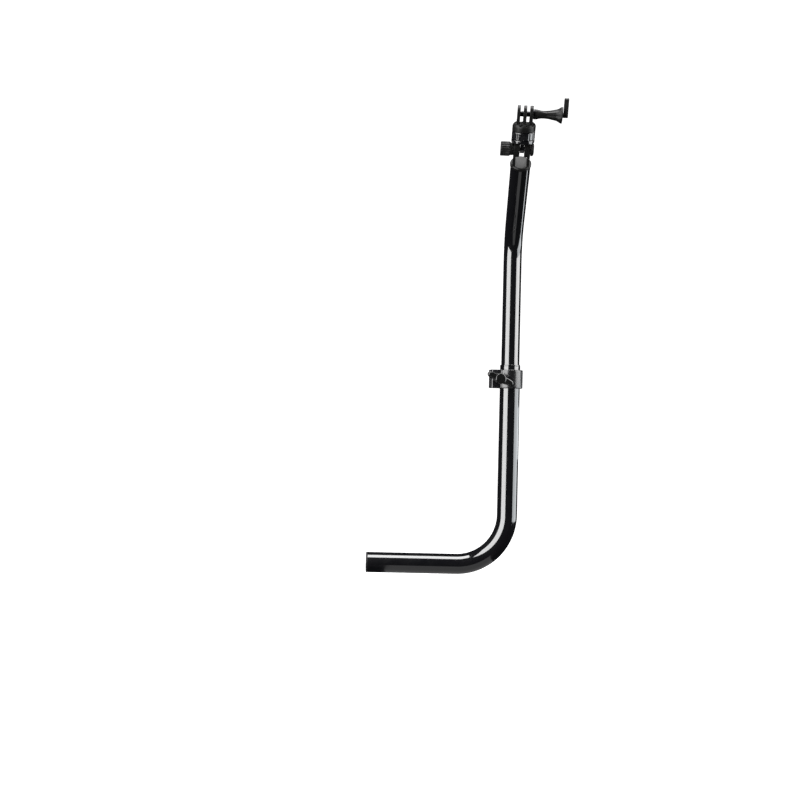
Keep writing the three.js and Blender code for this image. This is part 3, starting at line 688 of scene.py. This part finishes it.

# %% [markdown]
# Every finished piece goes through one door: it is carried from millimetres to its place,
# shaded smooth, given its finish, and tied to the body that it moves with. It also hides
# the CAD nodes that it stands for.

# %% Put a finished piece in its place
def shade(piece, sharp_angle):
    piece.data.polygons.foreach_set("use_smooth", [True] * len(piece.data.polygons))
    if sharp_angle < 180:
        piece.data.set_sharp_from_angle(angle=math.radians(sharp_angle))


def settle(piece, where, finish, body, slot, *nodes, sharp_angle=180):
    piece.data.transform(where)
    piece.data.update()
    piece.data.materials.clear()
    piece.data.materials.append(finish)
    piece.data.polygons.foreach_set("material_index", [0] * len(piece.data.polygons))
    shade(piece, sharp_angle)
    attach(piece, body)
    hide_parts(*nodes)
    print(piece.name, "rides", body, "with", len(piece.data.polygons), "faces")
    return piece


# %% [markdown]
# The lower stage is one tube of 22.2 mm with a wall of 0.9 mm. It lies level, turns up
# through a quarter circle and stands as the pole. Its mouth is split so that the clamp can
# squeeze it onto the inner tube, and the split hides in the collar.

# %% The lower tube
def swept_tube(name, points, diameter, wall, bend_radius, bend_steps):
    mesh = bpy.data.meshes.new(name)
    mesh.from_pydata([Vector(point) for point in points], [(0, 1), (1, 2)], [])
    piece = new_object(name, mesh)
    values = {"Diameter": diameter, "Bend Radius": bend_radius, "Bend Steps": bend_steps}
    run_tree(piece, bent_tube_tree, {**values, "Finish": tube_lacquer})
    skin = bmesh.new()
    skin.from_mesh(piece.data)
    bmesh.ops.recalc_face_normals(skin, faces=skin.faces)
    print(name, "skin of", len(skin.faces), "faces")
    skin.to_mesh(piece.data)
    skin.free()
    shell = piece.modifiers.new("wall", "SOLIDIFY")
    shell.thickness = wall
    shell.offset = -1
    shell.use_even_offset = True
    return freeze(piece)


pole_x = pole_top.x / MM
lower_tube = swept_tube(
    "lower_tube_skin",
    [(PLUG_HEAD + 0.1, 0, 0), (pole_x, 0, 0), (pole_x, 0, POLE_TOP - MOUTH_RING - 0.1)],
    LOWER_TUBE, LOWER_WALL, LOWER_BEND, 48,
)
slit = slab("slit", (0, -SLIT_HALF, 0), (LOWER_TUBE, SLIT_HALF, COLLAR_HEIGHT + 10))
slit.data.transform(Matrix.Scale(1 / MM, 4) @ AT_COLLAR @ Matrix.Translation((0, 0, 2 - COLLAR_HEIGHT / 2)))
cut_by(lower_tube, slit)
AT_FRAME = Matrix.Scale(MM, 4)
settle(lower_tube, AT_FRAME, tube_lacquer, "lower_pole", "tube_gloss", "lower_tube", sharp_angle=50)

# %% [markdown]
# The upper stage is a 20 mm tube. It stands 65 mm deep in the lower one, rises straight
# and leans forward through 55 degrees, which is what carries the camera out over the
# wearer's head. It is the same tree with other numbers.

# %% The upper tube
rise = UPPER_BEND_RADIUS * math.tan(UPPER_BEND / 2)
stem_foot = pole_top / MM - Z_UP * INSERTION
corner = pole_top / MM + Z_UP * (EXPOSED + rise)
stem_end = corner + tube_end_axis * (rise + UPPER_END)
upper_tube = swept_tube(
    "upper_tube_skin", [stem_foot, corner, stem_end], UPPER_TUBE, UPPER_WALL, UPPER_BEND_RADIUS, 40
)
settle(upper_tube, AT_FRAME, tube_lacquer, "upper_pole", "tube_gloss", "upper_tube", sharp_angle=50)

# %% [markdown]
# The free end of the arm is closed by a pressed-in plug, and the mouth of the pole by a
# thin wiper ring. A guide bush, out of sight, steadies the upper tube inside the lower.
# The plug and the ring are turned shapes with softly broken edges.

# %% End plug and mouth ring
plug_radius = LOWER_TUBE / 2
spigot = plug_radius - LOWER_WALL - 0.3
end_plug = turned("end_plug", [
    (0, 0.35), (plug_radius - 4.2, 0.35), (plug_radius - 3.4, 0), (plug_radius, 0), (plug_radius, PLUG_HEAD),
    (spigot, PLUG_HEAD), (spigot, 14), (spigot - 2, 14), (spigot - 2, PLUG_HEAD), (0, PLUG_HEAD),
], 0.45)
settle(end_plug, AT_ARM, plug_nylon, "lower_pole", "plug_plastic", "arm_end_plug", sharp_angle=60)


def ring(name, inner, outer, low, high, radius=0.25, sides=96):
    """A turned ring: a rounded disc with a hole through it."""
    disc = turned(name, [(0, low), (outer, low), (outer, high), (0, high)], radius, sides)
    return cut_by(disc, bar("hole", inner, low - 1, high + 1, sides))


bore = LOWER_TUBE / 2 - LOWER_WALL
mouth_ring = ring("wiper_ring", bore, LOWER_TUBE / 2, POLE_TOP - MOUTH_RING, POLE_TOP, 0.4, 128)
settle(mouth_ring, AT_POLE, tube_lacquer, "lower_pole", "tube_gloss", "mouth_ring", sharp_angle=60)

# %% [markdown]
# The clamp is a cast collar with two ears and a slit between them. A bolt through the ears
# draws them together. The ears point back to the left of the pole, and the bolt head faces
# the front, where a hand finds the wings. The collar starts as a disc and a block, is
# bored, slit and spot-faced, and is then wrapped so that its edges are soft like a casting.

# %% The split collar
half_height = COLLAR_HEIGHT / 2
collar = turned("split_collar", [
    (0, -half_height), (COLLAR_RADIUS, -half_height), (COLLAR_RADIUS, half_height), (0, half_height),
], 1.0, 128)
ear_corner = 1.8
ear_root, ear_side, ear_far = 10, EAR_HALF - ear_corner, EAR_REACH - ear_corner
ears = slab("ears", (ear_root, -EAR_HALF, -half_height), (ear_far, EAR_HALF, half_height))
ear_end = slab("ear_end", (ear_root, -ear_side, -half_height), (EAR_REACH, ear_side, half_height))
corners = [
    moved(bar("corner", ear_corner, -half_height, half_height, 48), x=ear_far, y=side * ear_side)
    for side in (-1, 1)
]
joined(collar, ears, ear_end, *corners)
cut_by(collar, bar("bore", LOWER_TUBE / 2 + 0.1, -20, 20, 128))
cut_by(collar, slab("gap", (0, -SLIT_HALF, -20), (30, SLIT_HALF, 20)))


def across_ears(piece):
    """Turns a cutter made about Z so that it runs through the ears along +Y."""
    piece.data.transform(Matrix.Translation((BOLT_OFFSET, 0, 0)) @ Matrix.Rotation(-math.pi / 2, 4, "X"))
    return piece


cut_by(collar, across_ears(bar("bolt_hole", CLAMP_BORE, -20, 20, 48)))
cut_by(collar, across_ears(bar("spot_face", 4.55, EAR_HALF, 20, 64)))
cut_by(collar, across_ears(bar("nut_pocket", 8.6 / math.sqrt(3), -20, 3.2 - EAR_HALF, 6)))
moulded(collar, 0.26, 7)
settle(collar, AT_COLLAR, clamp_coat, "lower_pole", "clamp_satin", "clamp_collar")

# %% [markdown]
# A screw thread is a groove that climbs one pitch for each turn. The ripple tree makes it
# on a plain rod, with one wave round the axis and a steady climb.

# %% Threaded rods, nuts and washers
THREAD_DEPTH = 0.32


def threaded_rod(name, radius, low, high, pitch, finish, thread_low, thread_high):
    rows = int((high - low) / pitch * 8)
    bevel = 0.5
    points = [(0, low), (radius - bevel, low), (radius, low + bevel)]
    points += [(radius, low + bevel + (high - low - 2 * bevel) * row / rows) for row in range(1, rows)]
    points += [(radius, high - bevel), (radius - bevel, high), (0, high)]
    rod = turned(name, points, 0.001, 40)
    climb = -2 * math.pi / pitch
    inner = radius - 0.8
    return ripple(rod, finish, 1, THREAD_DEPTH, thread_low, thread_high, climb, 1.4, 0.5, inner)


def hex_nut(name, across_flats, low, high, thread_radius):
    corner_radius = across_flats / math.sqrt(3)
    crowned = turned("crown", [
        (0, low), (across_flats / 2 - 0.1, low), (corner_radius, low + 0.55), (corner_radius, high - 0.55),
        (across_flats / 2 - 0.1, high), (0, high),
    ], 0.05, 72)
    blank = bar(name, corner_radius, low - 1, high + 1, 6)
    combine(blank, [crowned], "INTERSECT")
    cut_by(blank, bar("thread", thread_radius, low - 2, high + 2, 40))
    return moulded(blank, 0.12, 3)


bolt_low, bolt_high = -8.2, 13.15
clamp_bolt = threaded_rod("m5_clamp_bolt", 2.5, bolt_low, bolt_high, 0.8, clamp_steel, -8.0, -3.0)
settle(clamp_bolt, AT_CLAMP_SCREW, clamp_steel, "clamp_screw", "zinc_steel", "clamp_bolt", sharp_angle=60)
clamp_nut = hex_nut("m5_clamp_nut", 8.0, -7.6, -3.6, CLAMP_BORE)
settle(clamp_nut, AT_CLAMP_SCREW, clamp_steel, "lower_pole", "zinc_steel", "clamp_nut")
clamp_washer = ring("m5_washer", 2.8, 4.2, 6.85, 7.85, 0.2)
settle(clamp_washer, AT_CLAMP_SCREW, clamp_steel, "clamp_screw", "zinc_steel", "clamp_washer", sharp_angle=60)

# %% [markdown]
# The wing knob is moulded plastic: a boss that reaches the ears, a round hub, and two
# wings set half a turn apart and swept a little to opposite sides, so that the knob looks
# like a flat S. Its wings rise in steps towards their middle line, where thumb and finger press.

# %% The wing knob
WING_LOW, WING_HIGH, KNOB_SEAT = 14.7, 18.5, 7.95
WING_ROOT, WING_TIP, WING_SPAN, WING_SWEEP = 4.6, 3.1, 30.4, 1.5
WING_TURN = math.radians(29)
WING_STEPS = [(0.0, 1.3), (0.12, 0.85), (0.32, 0.5), (0.6, 0.22), (1.0, 0.0)]


def paddle(root, tip, distance, offset, steps=20):
    """The outline round a circle at the origin and a smaller one further along X."""
    reach = math.hypot(distance, offset)
    heading = math.atan2(offset, distance)
    lean = math.acos((root - tip) / reach)
    outline = []
    for step in range(steps + 1):
        angle = heading + lean + (2 * math.pi - 2 * lean) * step / steps
        outline.append((root * math.cos(angle), root * math.sin(angle)))
    for step in range(steps + 1):
        angle = heading - lean + 2 * lean * step / steps
        outline.append((distance + tip * math.cos(angle), offset + tip * math.sin(angle)))
    return outline


def make_wing_knob():
    knob = turned("wing_knob_body", [
        (0, WING_LOW), (5.8, WING_LOW), (5.8, WING_HIGH + 0.5), (0, WING_HIGH + 0.5),
    ], 1.1)
    boss = bar("boss", 4.2, KNOB_SEAT, WING_HIGH - 1)
    wings = []
    for inset, drop in WING_STEPS:
        outline = paddle(WING_ROOT - inset, WING_TIP - inset, WING_SPAN / 2 - WING_TIP, WING_SWEEP)
        wings += [spun(raised("wing", outline, WING_LOW, WING_HIGH - drop), turn) for turn in (0, math.pi)]
    joined(knob, boss, *wings)
    spun(knob, -WING_TURN)
    cut_by(knob, bar("thread", 2.8, KNOB_SEAT - 1, KNOB_SEAT + 5.5, 40))
    return moulded(knob, 0.18, 10)


wing_knob = make_wing_knob()
settle(wing_knob, AT_CLAMP_SCREW, knob_plastic, "clamp_screw", "knob_plastic", "wing_knob")

# %% [markdown]
# The cap closes the end of the upper tube and grows two arms, the fork in which the head
# tilts. The arms are thick round the pivot and thinner below it, so the flat floor of the
# cap shows between them.

# %% The forked cap
def make_top_cap():
    floor = -PIVOT_HEIGHT
    brim = floor - CAP_COLLAR
    body = turned("forked_cap", [
        (0, brim - 12), (8.7, brim - 12), (8.7, brim + 0.3), (CAP_RADIUS, brim + 0.3),
        (CAP_RADIUS, floor - CAP_CHAMFER), (CAP_RADIUS - CAP_CHAMFER, floor), (0, floor),
    ], 0.2, 128)
    arms = slab("arms", (-FORK_HALF, -BOSS_RADIUS, floor - 1), (FORK_HALF, BOSS_RADIUS, 0))
    combine(arms, [bar("post", CAP_RADIUS, floor - 1, 0, 128)], "INTERSECT")
    cut_by(arms, slab("inset", (-FLOOR_HALF, -12, floor), (FLOOR_HALF, 12, 1)))
    boss = along_x(bar("boss", BOSS_RADIUS, -FORK_HALF, FORK_HALF))
    lobe = moved(along_x(bar("lobe", BOSS_RADIUS, -FORK_HALF, FORK_HALF)), z=-BOSS_DROP)
    cheeks = slab("cheeks", (-FORK_HALF, -BOSS_RADIUS, -BOSS_DROP), (FORK_HALF, BOSS_RADIUS, 0))
    joined(body, arms, boss, lobe, cheeks)
    cut_by(body, slab("slot", (-SLOT_HALF, -12, floor), (SLOT_HALF, 12, BOSS_RADIUS + 1)))
    cut_by(body, along_x(bar("hole", PIVOT_BORE, -12, 12, 48)))
    cut_by(body, along_x(bar("nut_pocket", NUT_POCKET, FORK_HALF - NUT_SINK, 12, 6)))
    cut_by(body, bar("hollow", 7.0, brim - 13, brim, 64))
    return moulded(body, 0.22, 5)


top_cap = make_top_cap()
settle(top_cap, AT_FORK, head_nylon, "upper_pole", "head_satin", "top_cap")

# %% [markdown]
# On the left of the fork sits a ribbed drum that tightens the tilt. It steps down to a neck
# where the rim of the camera seat passes over it. The drum's 18 ribs are waves round its
# axis from the ripple tree. On the right a low domed cover hides the nut, which is sunk in
# the arm of the fork.

# %% The tilt knob and its screw
KNOB_SEAT_TILT, KNOB_END, DRUM_IN, DRUM_RADIUS, NECK_RADIUS = -9.35, -21.35, -11.65, 6.95, 6.0


def make_tilt_knob():
    rows, ribs, rib_depth = 24, 18, 0.5
    low, high = KNOB_END + 0.7, DRUM_IN - 0.7
    points = [(0, KNOB_END + 0.8), (4.3, KNOB_END + 0.8), (4.8, KNOB_END), (DRUM_RADIUS - 0.6, KNOB_END)]
    points += [(DRUM_RADIUS, low + (high - low) * row / rows) for row in range(rows + 1)]
    points += [(DRUM_RADIUS - 0.7, DRUM_IN), (NECK_RADIUS, DRUM_IN), (NECK_RADIUS, KNOB_SEAT_TILT)]
    points.append((0, KNOB_SEAT_TILT))
    drum = turned("ribbed_tilt_knob", points, 0.25, ribs * 14)
    inner = NECK_RADIUS + 0.1
    ripple(drum, head_nylon, ribs, rib_depth, KNOB_END + 0.5, DRUM_IN + 0.3, power=0.8, fade=0.7, inner=inner)
    return cut_by(drum, bar("thread", 2.3, KNOB_SEAT_TILT - 9.5, KNOB_SEAT_TILT + 1, 40))


settle(make_tilt_knob(), AT_PIVOT, head_nylon, "tilt_screw", "knob_plastic", "tilt_knob", sharp_angle=45)
nut_low = FORK_HALF - NUT_SINK + 0.3
nut_high = nut_low + 3.2
tilt_bolt = threaded_rod("m4_tilt_bolt", 2.0, KNOB_SEAT_TILT - 9.2, nut_high, 0.7, pivot_steel, 4.0, nut_high)
settle(tilt_bolt, AT_PIVOT, pivot_steel, "tilt_screw", "black_steel", "tilt_bolt", sharp_angle=60)
tilt_washer = ring("m4_washer", 2.3, 5.9, -9.3, -8.28, 0.06)
settle(tilt_washer, AT_PIVOT, pivot_steel, "tilt_screw", "black_steel", "tilt_washer", sharp_angle=60)

# %% The nut and its cover
tilt_nut = hex_nut("m4_tilt_nut", 7.0, nut_low, nut_high, PIVOT_BORE)
settle(tilt_nut, AT_PIVOT, pivot_steel, "upper_pole", "black_steel", "tilt_nut")
cover_radius = 7.0 / math.sqrt(3) + 0.3 + 1.9
cover_low, cover_high = FORK_HALF + 0.3, FORK_HALF + 3.4
nut_cover = turned("domed_nut_cover", [
    (0, cover_low), (cover_radius - 0.4, cover_low), (cover_radius, cover_low + 0.4),
    (cover_radius, cover_high - 1.8), (cover_radius - 0.55, cover_high - 0.6),
    (cover_radius - 1.8, cover_high - 0.08), (0, cover_high),
], 0.5)
cut_by(nut_cover, bar("pocket", NUT_POCKET, cover_low - 1, cover_high - 0.8, 6))
settle(nut_cover, AT_PIVOT, head_nylon, "upper_pole", "knob_plastic", "nut_cover", sharp_angle=50)

# %% [markdown]
# Between the arms of the fork stands the knuckle: a tongue that the tilt bolt passes
# through, under a round platform. A quarter-inch stud is moulded into it, and on the stud
# sit the lock ring and the camera's three-prong body.

# %% The knuckle and its stud
def make_knuckle():
    tongue_half, tongue_end = 2.0, 3.7
    body = slab("tilt_tongue", (-tongue_half, -tongue_end, 0), (tongue_half, tongue_end, PLATFORM_TOP - 0.5))
    end = along_x(bar("end", tongue_end, -tongue_half, tongue_half))
    plate = turned("plate", [
        (0, PLATFORM_LOW), (HEAD_RADIUS - 0.5, PLATFORM_LOW), (HEAD_RADIUS, PLATFORM_LOW + 0.5),
        (HEAD_RADIUS, PLATFORM_TOP), (0, PLATFORM_TOP),
    ], 0.3, 128)
    joined(body, end, plate)
    cut_by(body, along_x(bar("hole", PIVOT_BORE, -6, 6, 48)))
    cut_by(body, bar("sink", 3.475, PLATFORM_TOP - 1.5, PLATFORM_TOP + 2, 48))
    return moulded(body, 0.18, 4)


settle(make_knuckle(), AT_KNUCKLE, ring_gloss, "knuckle", "head_satin", "tilt_knuckle")
stud_low, stud_high = PLATFORM_TOP - 1.2, INSERT_TOP - 0.2
camera_stud = threaded_rod(
    "quarter_inch_stud", 3.175, stud_low, stud_high, 1.27, stud_steel, PLATFORM_TOP, INSERT_TOP - 0.3
)
settle(camera_stud, AT_KNUCKLE, stud_steel, "knuckle", "zinc_steel", "camera_stud", sharp_angle=60)

# %% [markdown]
# The lock ring is a nut with finger notches: turning it up against the prong body stops the
# camera from swinging. Its notches come from the ripple tree too, shallow and with a high
# power, so that they are narrow and the polished lands between them stay wide.

# %% The lock ring
def make_lock_ring():
    rows, notches, notch_depth = 16, 12, 0.25
    low, high = RING_LOW, RING_TOP
    points = [(0, low), (HEAD_RADIUS - 0.5, low), (HEAD_RADIUS, low + 0.5)]
    points += [(HEAD_RADIUS, low + 0.5 + (high - low - 1) * row / rows) for row in range(1, rows)]
    points += [(HEAD_RADIUS, high - 0.5), (HEAD_RADIUS - 0.5, high), (0, high)]
    body = turned("notched_lock_ring", points, 0.3, notches * 32)
    inner = HEAD_RADIUS - 1.0
    ripple(body, ring_gloss, notches, notch_depth, low + 0.2, high - 0.2, power=9.0, inner=inner)
    return cut_by(body, bar("thread", STUD_BORE, low - 1, high + 1, 48))


settle(make_lock_ring(), AT_KNUCKLE, ring_gloss, "lock_ring", "head_satin", "lock_ring", sharp_angle=45)

# %% [markdown]
# The camera body is the piece that everything else exists for: a round base with three
# parallel prongs, whose round ends share one cross hole. It is built from a turned base, a
# block with a round end, two slots and a hole, and wrapped with a fine cell so that the
# 3 mm prongs keep their thickness.

# %% The three-prong camera body
def make_prong_body():
    arc = [math.radians(angle) for angle in range(0, 91, 10)]
    rim = ADAPTER_TOP - SHOULDER
    dome = [(HEAD_RADIUS - SHOULDER + SHOULDER * math.cos(a), rim + SHOULDER * math.sin(a)) for a in arc]
    outline = [(0, ADAPTER_LOW), (HEAD_RADIUS, ADAPTER_LOW), *dome, (0, ADAPTER_TOP)]
    body = turned("three_prong_body", outline, 0.3, 128)
    fins = slab("fins", (-PRONG_HALF, -PRONG_END, rim), (PRONG_HALF, PRONG_END, PRONG_AXIS))
    ends = moved(along_x(bar("ends", PRONG_END, -PRONG_HALF, PRONG_HALF, 128)), z=PRONG_AXIS)
    joined(body, fins, ends)
    for side in (-1, 1):
        inner, outer = sorted((side * PRONG / 2, side * (PRONG / 2 + PRONG_GAP)))
        cut_by(body, slab("slot", (inner, -14, SLOT_FLOOR), (outer, 14, PRONG_AXIS + PRONG_END + 2)))
    cut_by(body, moved(along_x(bar("cross_hole", THUMB_BORE, -12, 12, 48)), z=PRONG_AXIS))
    cut_by(body, moved(along_x(bar("seat", 4.3, -12, -PRONG_HALF + 2.7, 64)), z=PRONG_AXIS))
    cut_by(body, bar("pocket", 5.0, ADAPTER_LOW - 1, INSERT_TOP + 0.3, 64))
    return moulded(body, 0.2, 4)


settle(make_prong_body(), AT_KNUCKLE, head_nylon, "camera_head", "head_satin", "camera_adapter")
thread_bush = ring("brass_thread_bush", STUD_BORE, 4.7, ADAPTER_LOW, INSERT_TOP, 0.2)
settle(thread_bush, AT_KNUCKLE, insert_brass, "camera_head", "brass_insert", "adapter_insert", sharp_angle=60)
prong_insert = ring("prong_thread_insert", THUMB_BORE, 4.0, -7.4, -5.2, 0.2)
settle(prong_insert, AT_THUMB, pivot_steel, "camera_head", "black_steel", "prong_insert", sharp_angle=60)

# %% [markdown]
# The thumb screw clamps a camera between the prongs. Its knob is long, so that it clears
# the camera's case: a collar, a thin fluted waist that opens into a bell, and beyond a
# groove one flat wing that stands up for the thumb. The stem is turned and fluted by the
# ripple tree, then joined to the wing and wrapped.

# %% The thumb screw
THUMB_SEAT, STEM, GROOVE, WING = 9.05, 26.4, 0.9, 4.3
STEM_OUTLINE = [
    (0, 4.7), (2.5, 4.45), (4.3, 3.9), (6.3, 3.65), (8.3, 3.6), (10.3, 3.65), (12.2, 3.8), (14.2, 4.05),
    (16.2, 4.45), (18.2, 4.85), (20.2, 5.2), (22.1, 5.9), (23.8, 6.9), (25.0, 7.6), (26.0, 7.7),
]


def make_thumb_knob():
    bell_end = THUMB_SEAT + STEM
    lengths = [point[0] for point in STEM_OUTLINE]
    radii = [point[1] for point in STEM_OUTLINE]
    heights = np.linspace(0, STEM - 0.5, 70)
    smooth = np.interp(heights, lengths, radii)
    for _ in range(2):
        smooth[1:-1] = (smooth[:-2] + 2 * smooth[1:-1] + smooth[2:]) / 4
    points = [(0, THUMB_SEAT)] + [(float(r), THUMB_SEAT + float(h)) for r, h in zip(smooth, heights)]
    points += [(7.5, bell_end), (0, bell_end)]
    knob = turned("long_thumb_knob", points, 0.01, 144)
    flutes, flute_depth = 6, 0.6
    flute_low, flute_high = THUMB_SEAT + 6, bell_end + 2
    ripple(knob, head_nylon, flutes, flute_depth, flute_low, flute_high, power=1.3, fade=5.0, inner=1.2)
    link = bar("link", 2.2, bell_end - 0.5, bell_end + GROOVE + 0.5)
    outline = paddle(2.4, 3.0, 13.4, 0.0)
    wing = spun(raised("wing", outline, bell_end + GROOVE, bell_end + GROOVE + WING), math.pi)
    joined(knob, link, wing)
    cut_by(knob, bar("thread", 2.7, THUMB_SEAT - 1, THUMB_SEAT + 3, 40))
    return moulded(knob, 0.18, 5)


settle(make_thumb_knob(), AT_THUMB, head_nylon, "thumb_screw", "knob_plastic", "thumb_knob")
thumb_bolt = threaded_rod("m5_thumb_bolt", 2.4, -7.3, THUMB_SEAT + 2.7, 0.8, pivot_steel, -7.1, -3.0)
settle(thumb_bolt, AT_THUMB, pivot_steel, "thumb_screw", "black_steel", "thumb_bolt", sharp_angle=60)
thumb_washer = ring("thumb_washer_ring", 2.7, 4.5, 7.68, 8.99, 0.08)
settle(thumb_washer, AT_THUMB, pivot_steel, "thumb_screw", "black_steel", "thumb_washer", sharp_angle=60)

# %% [markdown]
# One CAD piece is left as it is, the guide bush inside the lower tube, because it is out
# of sight unless the upper stage is pulled out. It only needs its finish.

# %% The guide bush keeps its CAD mesh
guide_bush = frame["nodes"]["guide_bush"]
guide_bush.data.materials.clear()
guide_bush.data.materials.append(plug_nylon)
print("guide bush finished")

# %% [markdown]
# A mirror-like black tube is drawn by its surroundings, so the light is the real subject.
# Two tall soft panels stand left and right. Between them, behind the camera, it is dark,
# and so is everything beyond them, which is why each tube shows two long bright bands with
# a black middle and thin black rims. The pale sweep under and behind the pole is seen by
# the camera and lights nothing, so it doesn't wash the rims out. Its glow stops just short
# of white, and the plain Standard view keeps it there, so that the black outline against
# it is smooth and as wide as it should be.

# %% The pale sweep
FLOOR_Z, SWEEP_GLOW = -0.19, 0.97


def make_sweep():
    radius, rise, corner = 3.2, 3.4, 0.9
    points = [(0.0, FLOOR_Z)]
    points += [(radius - corner + corner * math.sin(a), FLOOR_Z + corner - corner * math.cos(a))
               for a in np.linspace(0, math.pi / 2, 14)]
    points.append((radius, FLOOR_Z + rise))
    shape = spin_skin(points, 96)
    mesh = bpy.data.meshes.new("sweep")
    shape.to_mesh(mesh)
    shape.free()
    piece = new_object("sweep", mesh)
    mesh.polygons.foreach_set("use_smooth", [True] * len(mesh.polygons))
    material, _, shader = new_finish("sweep_paper")
    set_inputs(shader, {"Base Color": (0.85, 0.85, 0.85, 1), "Roughness": 0.9})
    set_inputs(shader, {"Emission Color": (1, 1, 1, 1), "Emission Strength": SWEEP_GLOW})
    mesh.materials.append(material)
    piece.visible_glossy = False
    piece.visible_diffuse = False
    return piece


make_sweep()

# %% Lights
def area_lamp(name, width, height, strength, spot, tint=(1, 1, 1)):
    """A rectangular lamp whose strength is its brightness, whatever its size."""
    data = bpy.data.lights.new(name, "AREA")
    data.shape = "RECTANGLE"
    data.size = width
    data.size_y = height
    data.energy = strength * width * height * math.pi
    data.color = tint
    lamp = new_object(name, data)
    lamp.location = spot
    lamp.visible_camera = False
    return lamp


def panel_between(name, first, last, low, high, strength, tint=(1, 1, 1), distance=1.25):
    """A tall panel that fills the bearings from first to last, from -Y towards +X."""
    half = math.radians((last - first) / 2)
    width = 2 * distance * math.tan(half)
    middle = (low + high) / 2
    angle = math.radians((first + last) / 2)
    x, y = pole_top.x + distance * math.sin(angle), pole_top.y - distance * math.cos(angle)
    spot = Vector((x, y, middle))
    lamp = area_lamp(name, width, high - low, strength, spot, tint)
    look = Vector((pole_top.x, pole_top.y, middle)) - spot
    lamp.rotation_euler = look.to_track_quat("-Z", "Y").to_euler()
    return lamp


def level_panel(name, spot, width, depth, strength, faces_up):
    """A flat panel that shines straight up or straight down."""
    lamp = area_lamp(name, width, depth, strength, spot)
    lamp.rotation_euler = (math.pi if faces_up else 0, 0, 0)
    return lamp


COOL = (0.93, 0.97, 1.0)
above = (pivot_point.x, pivot_point.y - 0.1, 1.5)
below = (pivot_point.x, pivot_point.y + 0.1, FLOOR_Z + 0.01)
lamps = [
    panel_between("panel_left", -79, -29, -0.25, 1.75, 5.6),
    panel_between("panel_right_high", 46, 97, 0.24, 1.75, 5.2),
    panel_between("panel_right_low", 55, 112, -0.25, 0.23, 3.2, COOL),
    level_panel("panel_above", above, 0.9, 0.9, 6.5, False),
    panel_between("panel_back", 110, 130, 0.065, 0.17, 2.6, COOL, 0.72),
    level_panel("panel_below", below, 0.26, 1.0, 0.3, True),
]
world = bpy.data.worlds.new("dark_room")
world.use_nodes = True
set_inputs(world.node_tree.nodes["Background"], {"Color": (0.012, 0.012, 0.013, 1), "Strength": 1.0})
bpy.context.scene.world = world
bpy.context.scene.view_settings.view_transform = "Standard"
print("lamps:", [lamp.name for lamp in lamps])

# %% [markdown]
# The camera stands 0.9 m in front of the pole, a little above the clamp, and looks level,
# so the head is seen slightly from below. It is tipped by a degree, as a hand-held camera
# is, which makes the pole lean.

# %% Camera
CAMERA_BACK, CAMERA_LEFT, CAMERA_UP = 0.9, 0.1216, 0.1807
CAMERA_TIP, LENS = math.radians(1.27), 36.45
camera_data = bpy.data.cameras.new("view")
camera_data.sensor_width = 36.0
camera_data.lens = LENS
camera = new_object("view", camera_data)
place = Matrix.Translation((pole_top.x - CAMERA_LEFT, pole_top.y - CAMERA_BACK, CAMERA_UP))
tip = Matrix.Rotation(CAMERA_TIP, 4, "Z")
camera.matrix_world = place @ Matrix.Rotation(math.pi / 2, 4, "X") @ tip
bpy.context.scene.camera = camera
print("camera at", [round(value, 3) for value in camera.location])
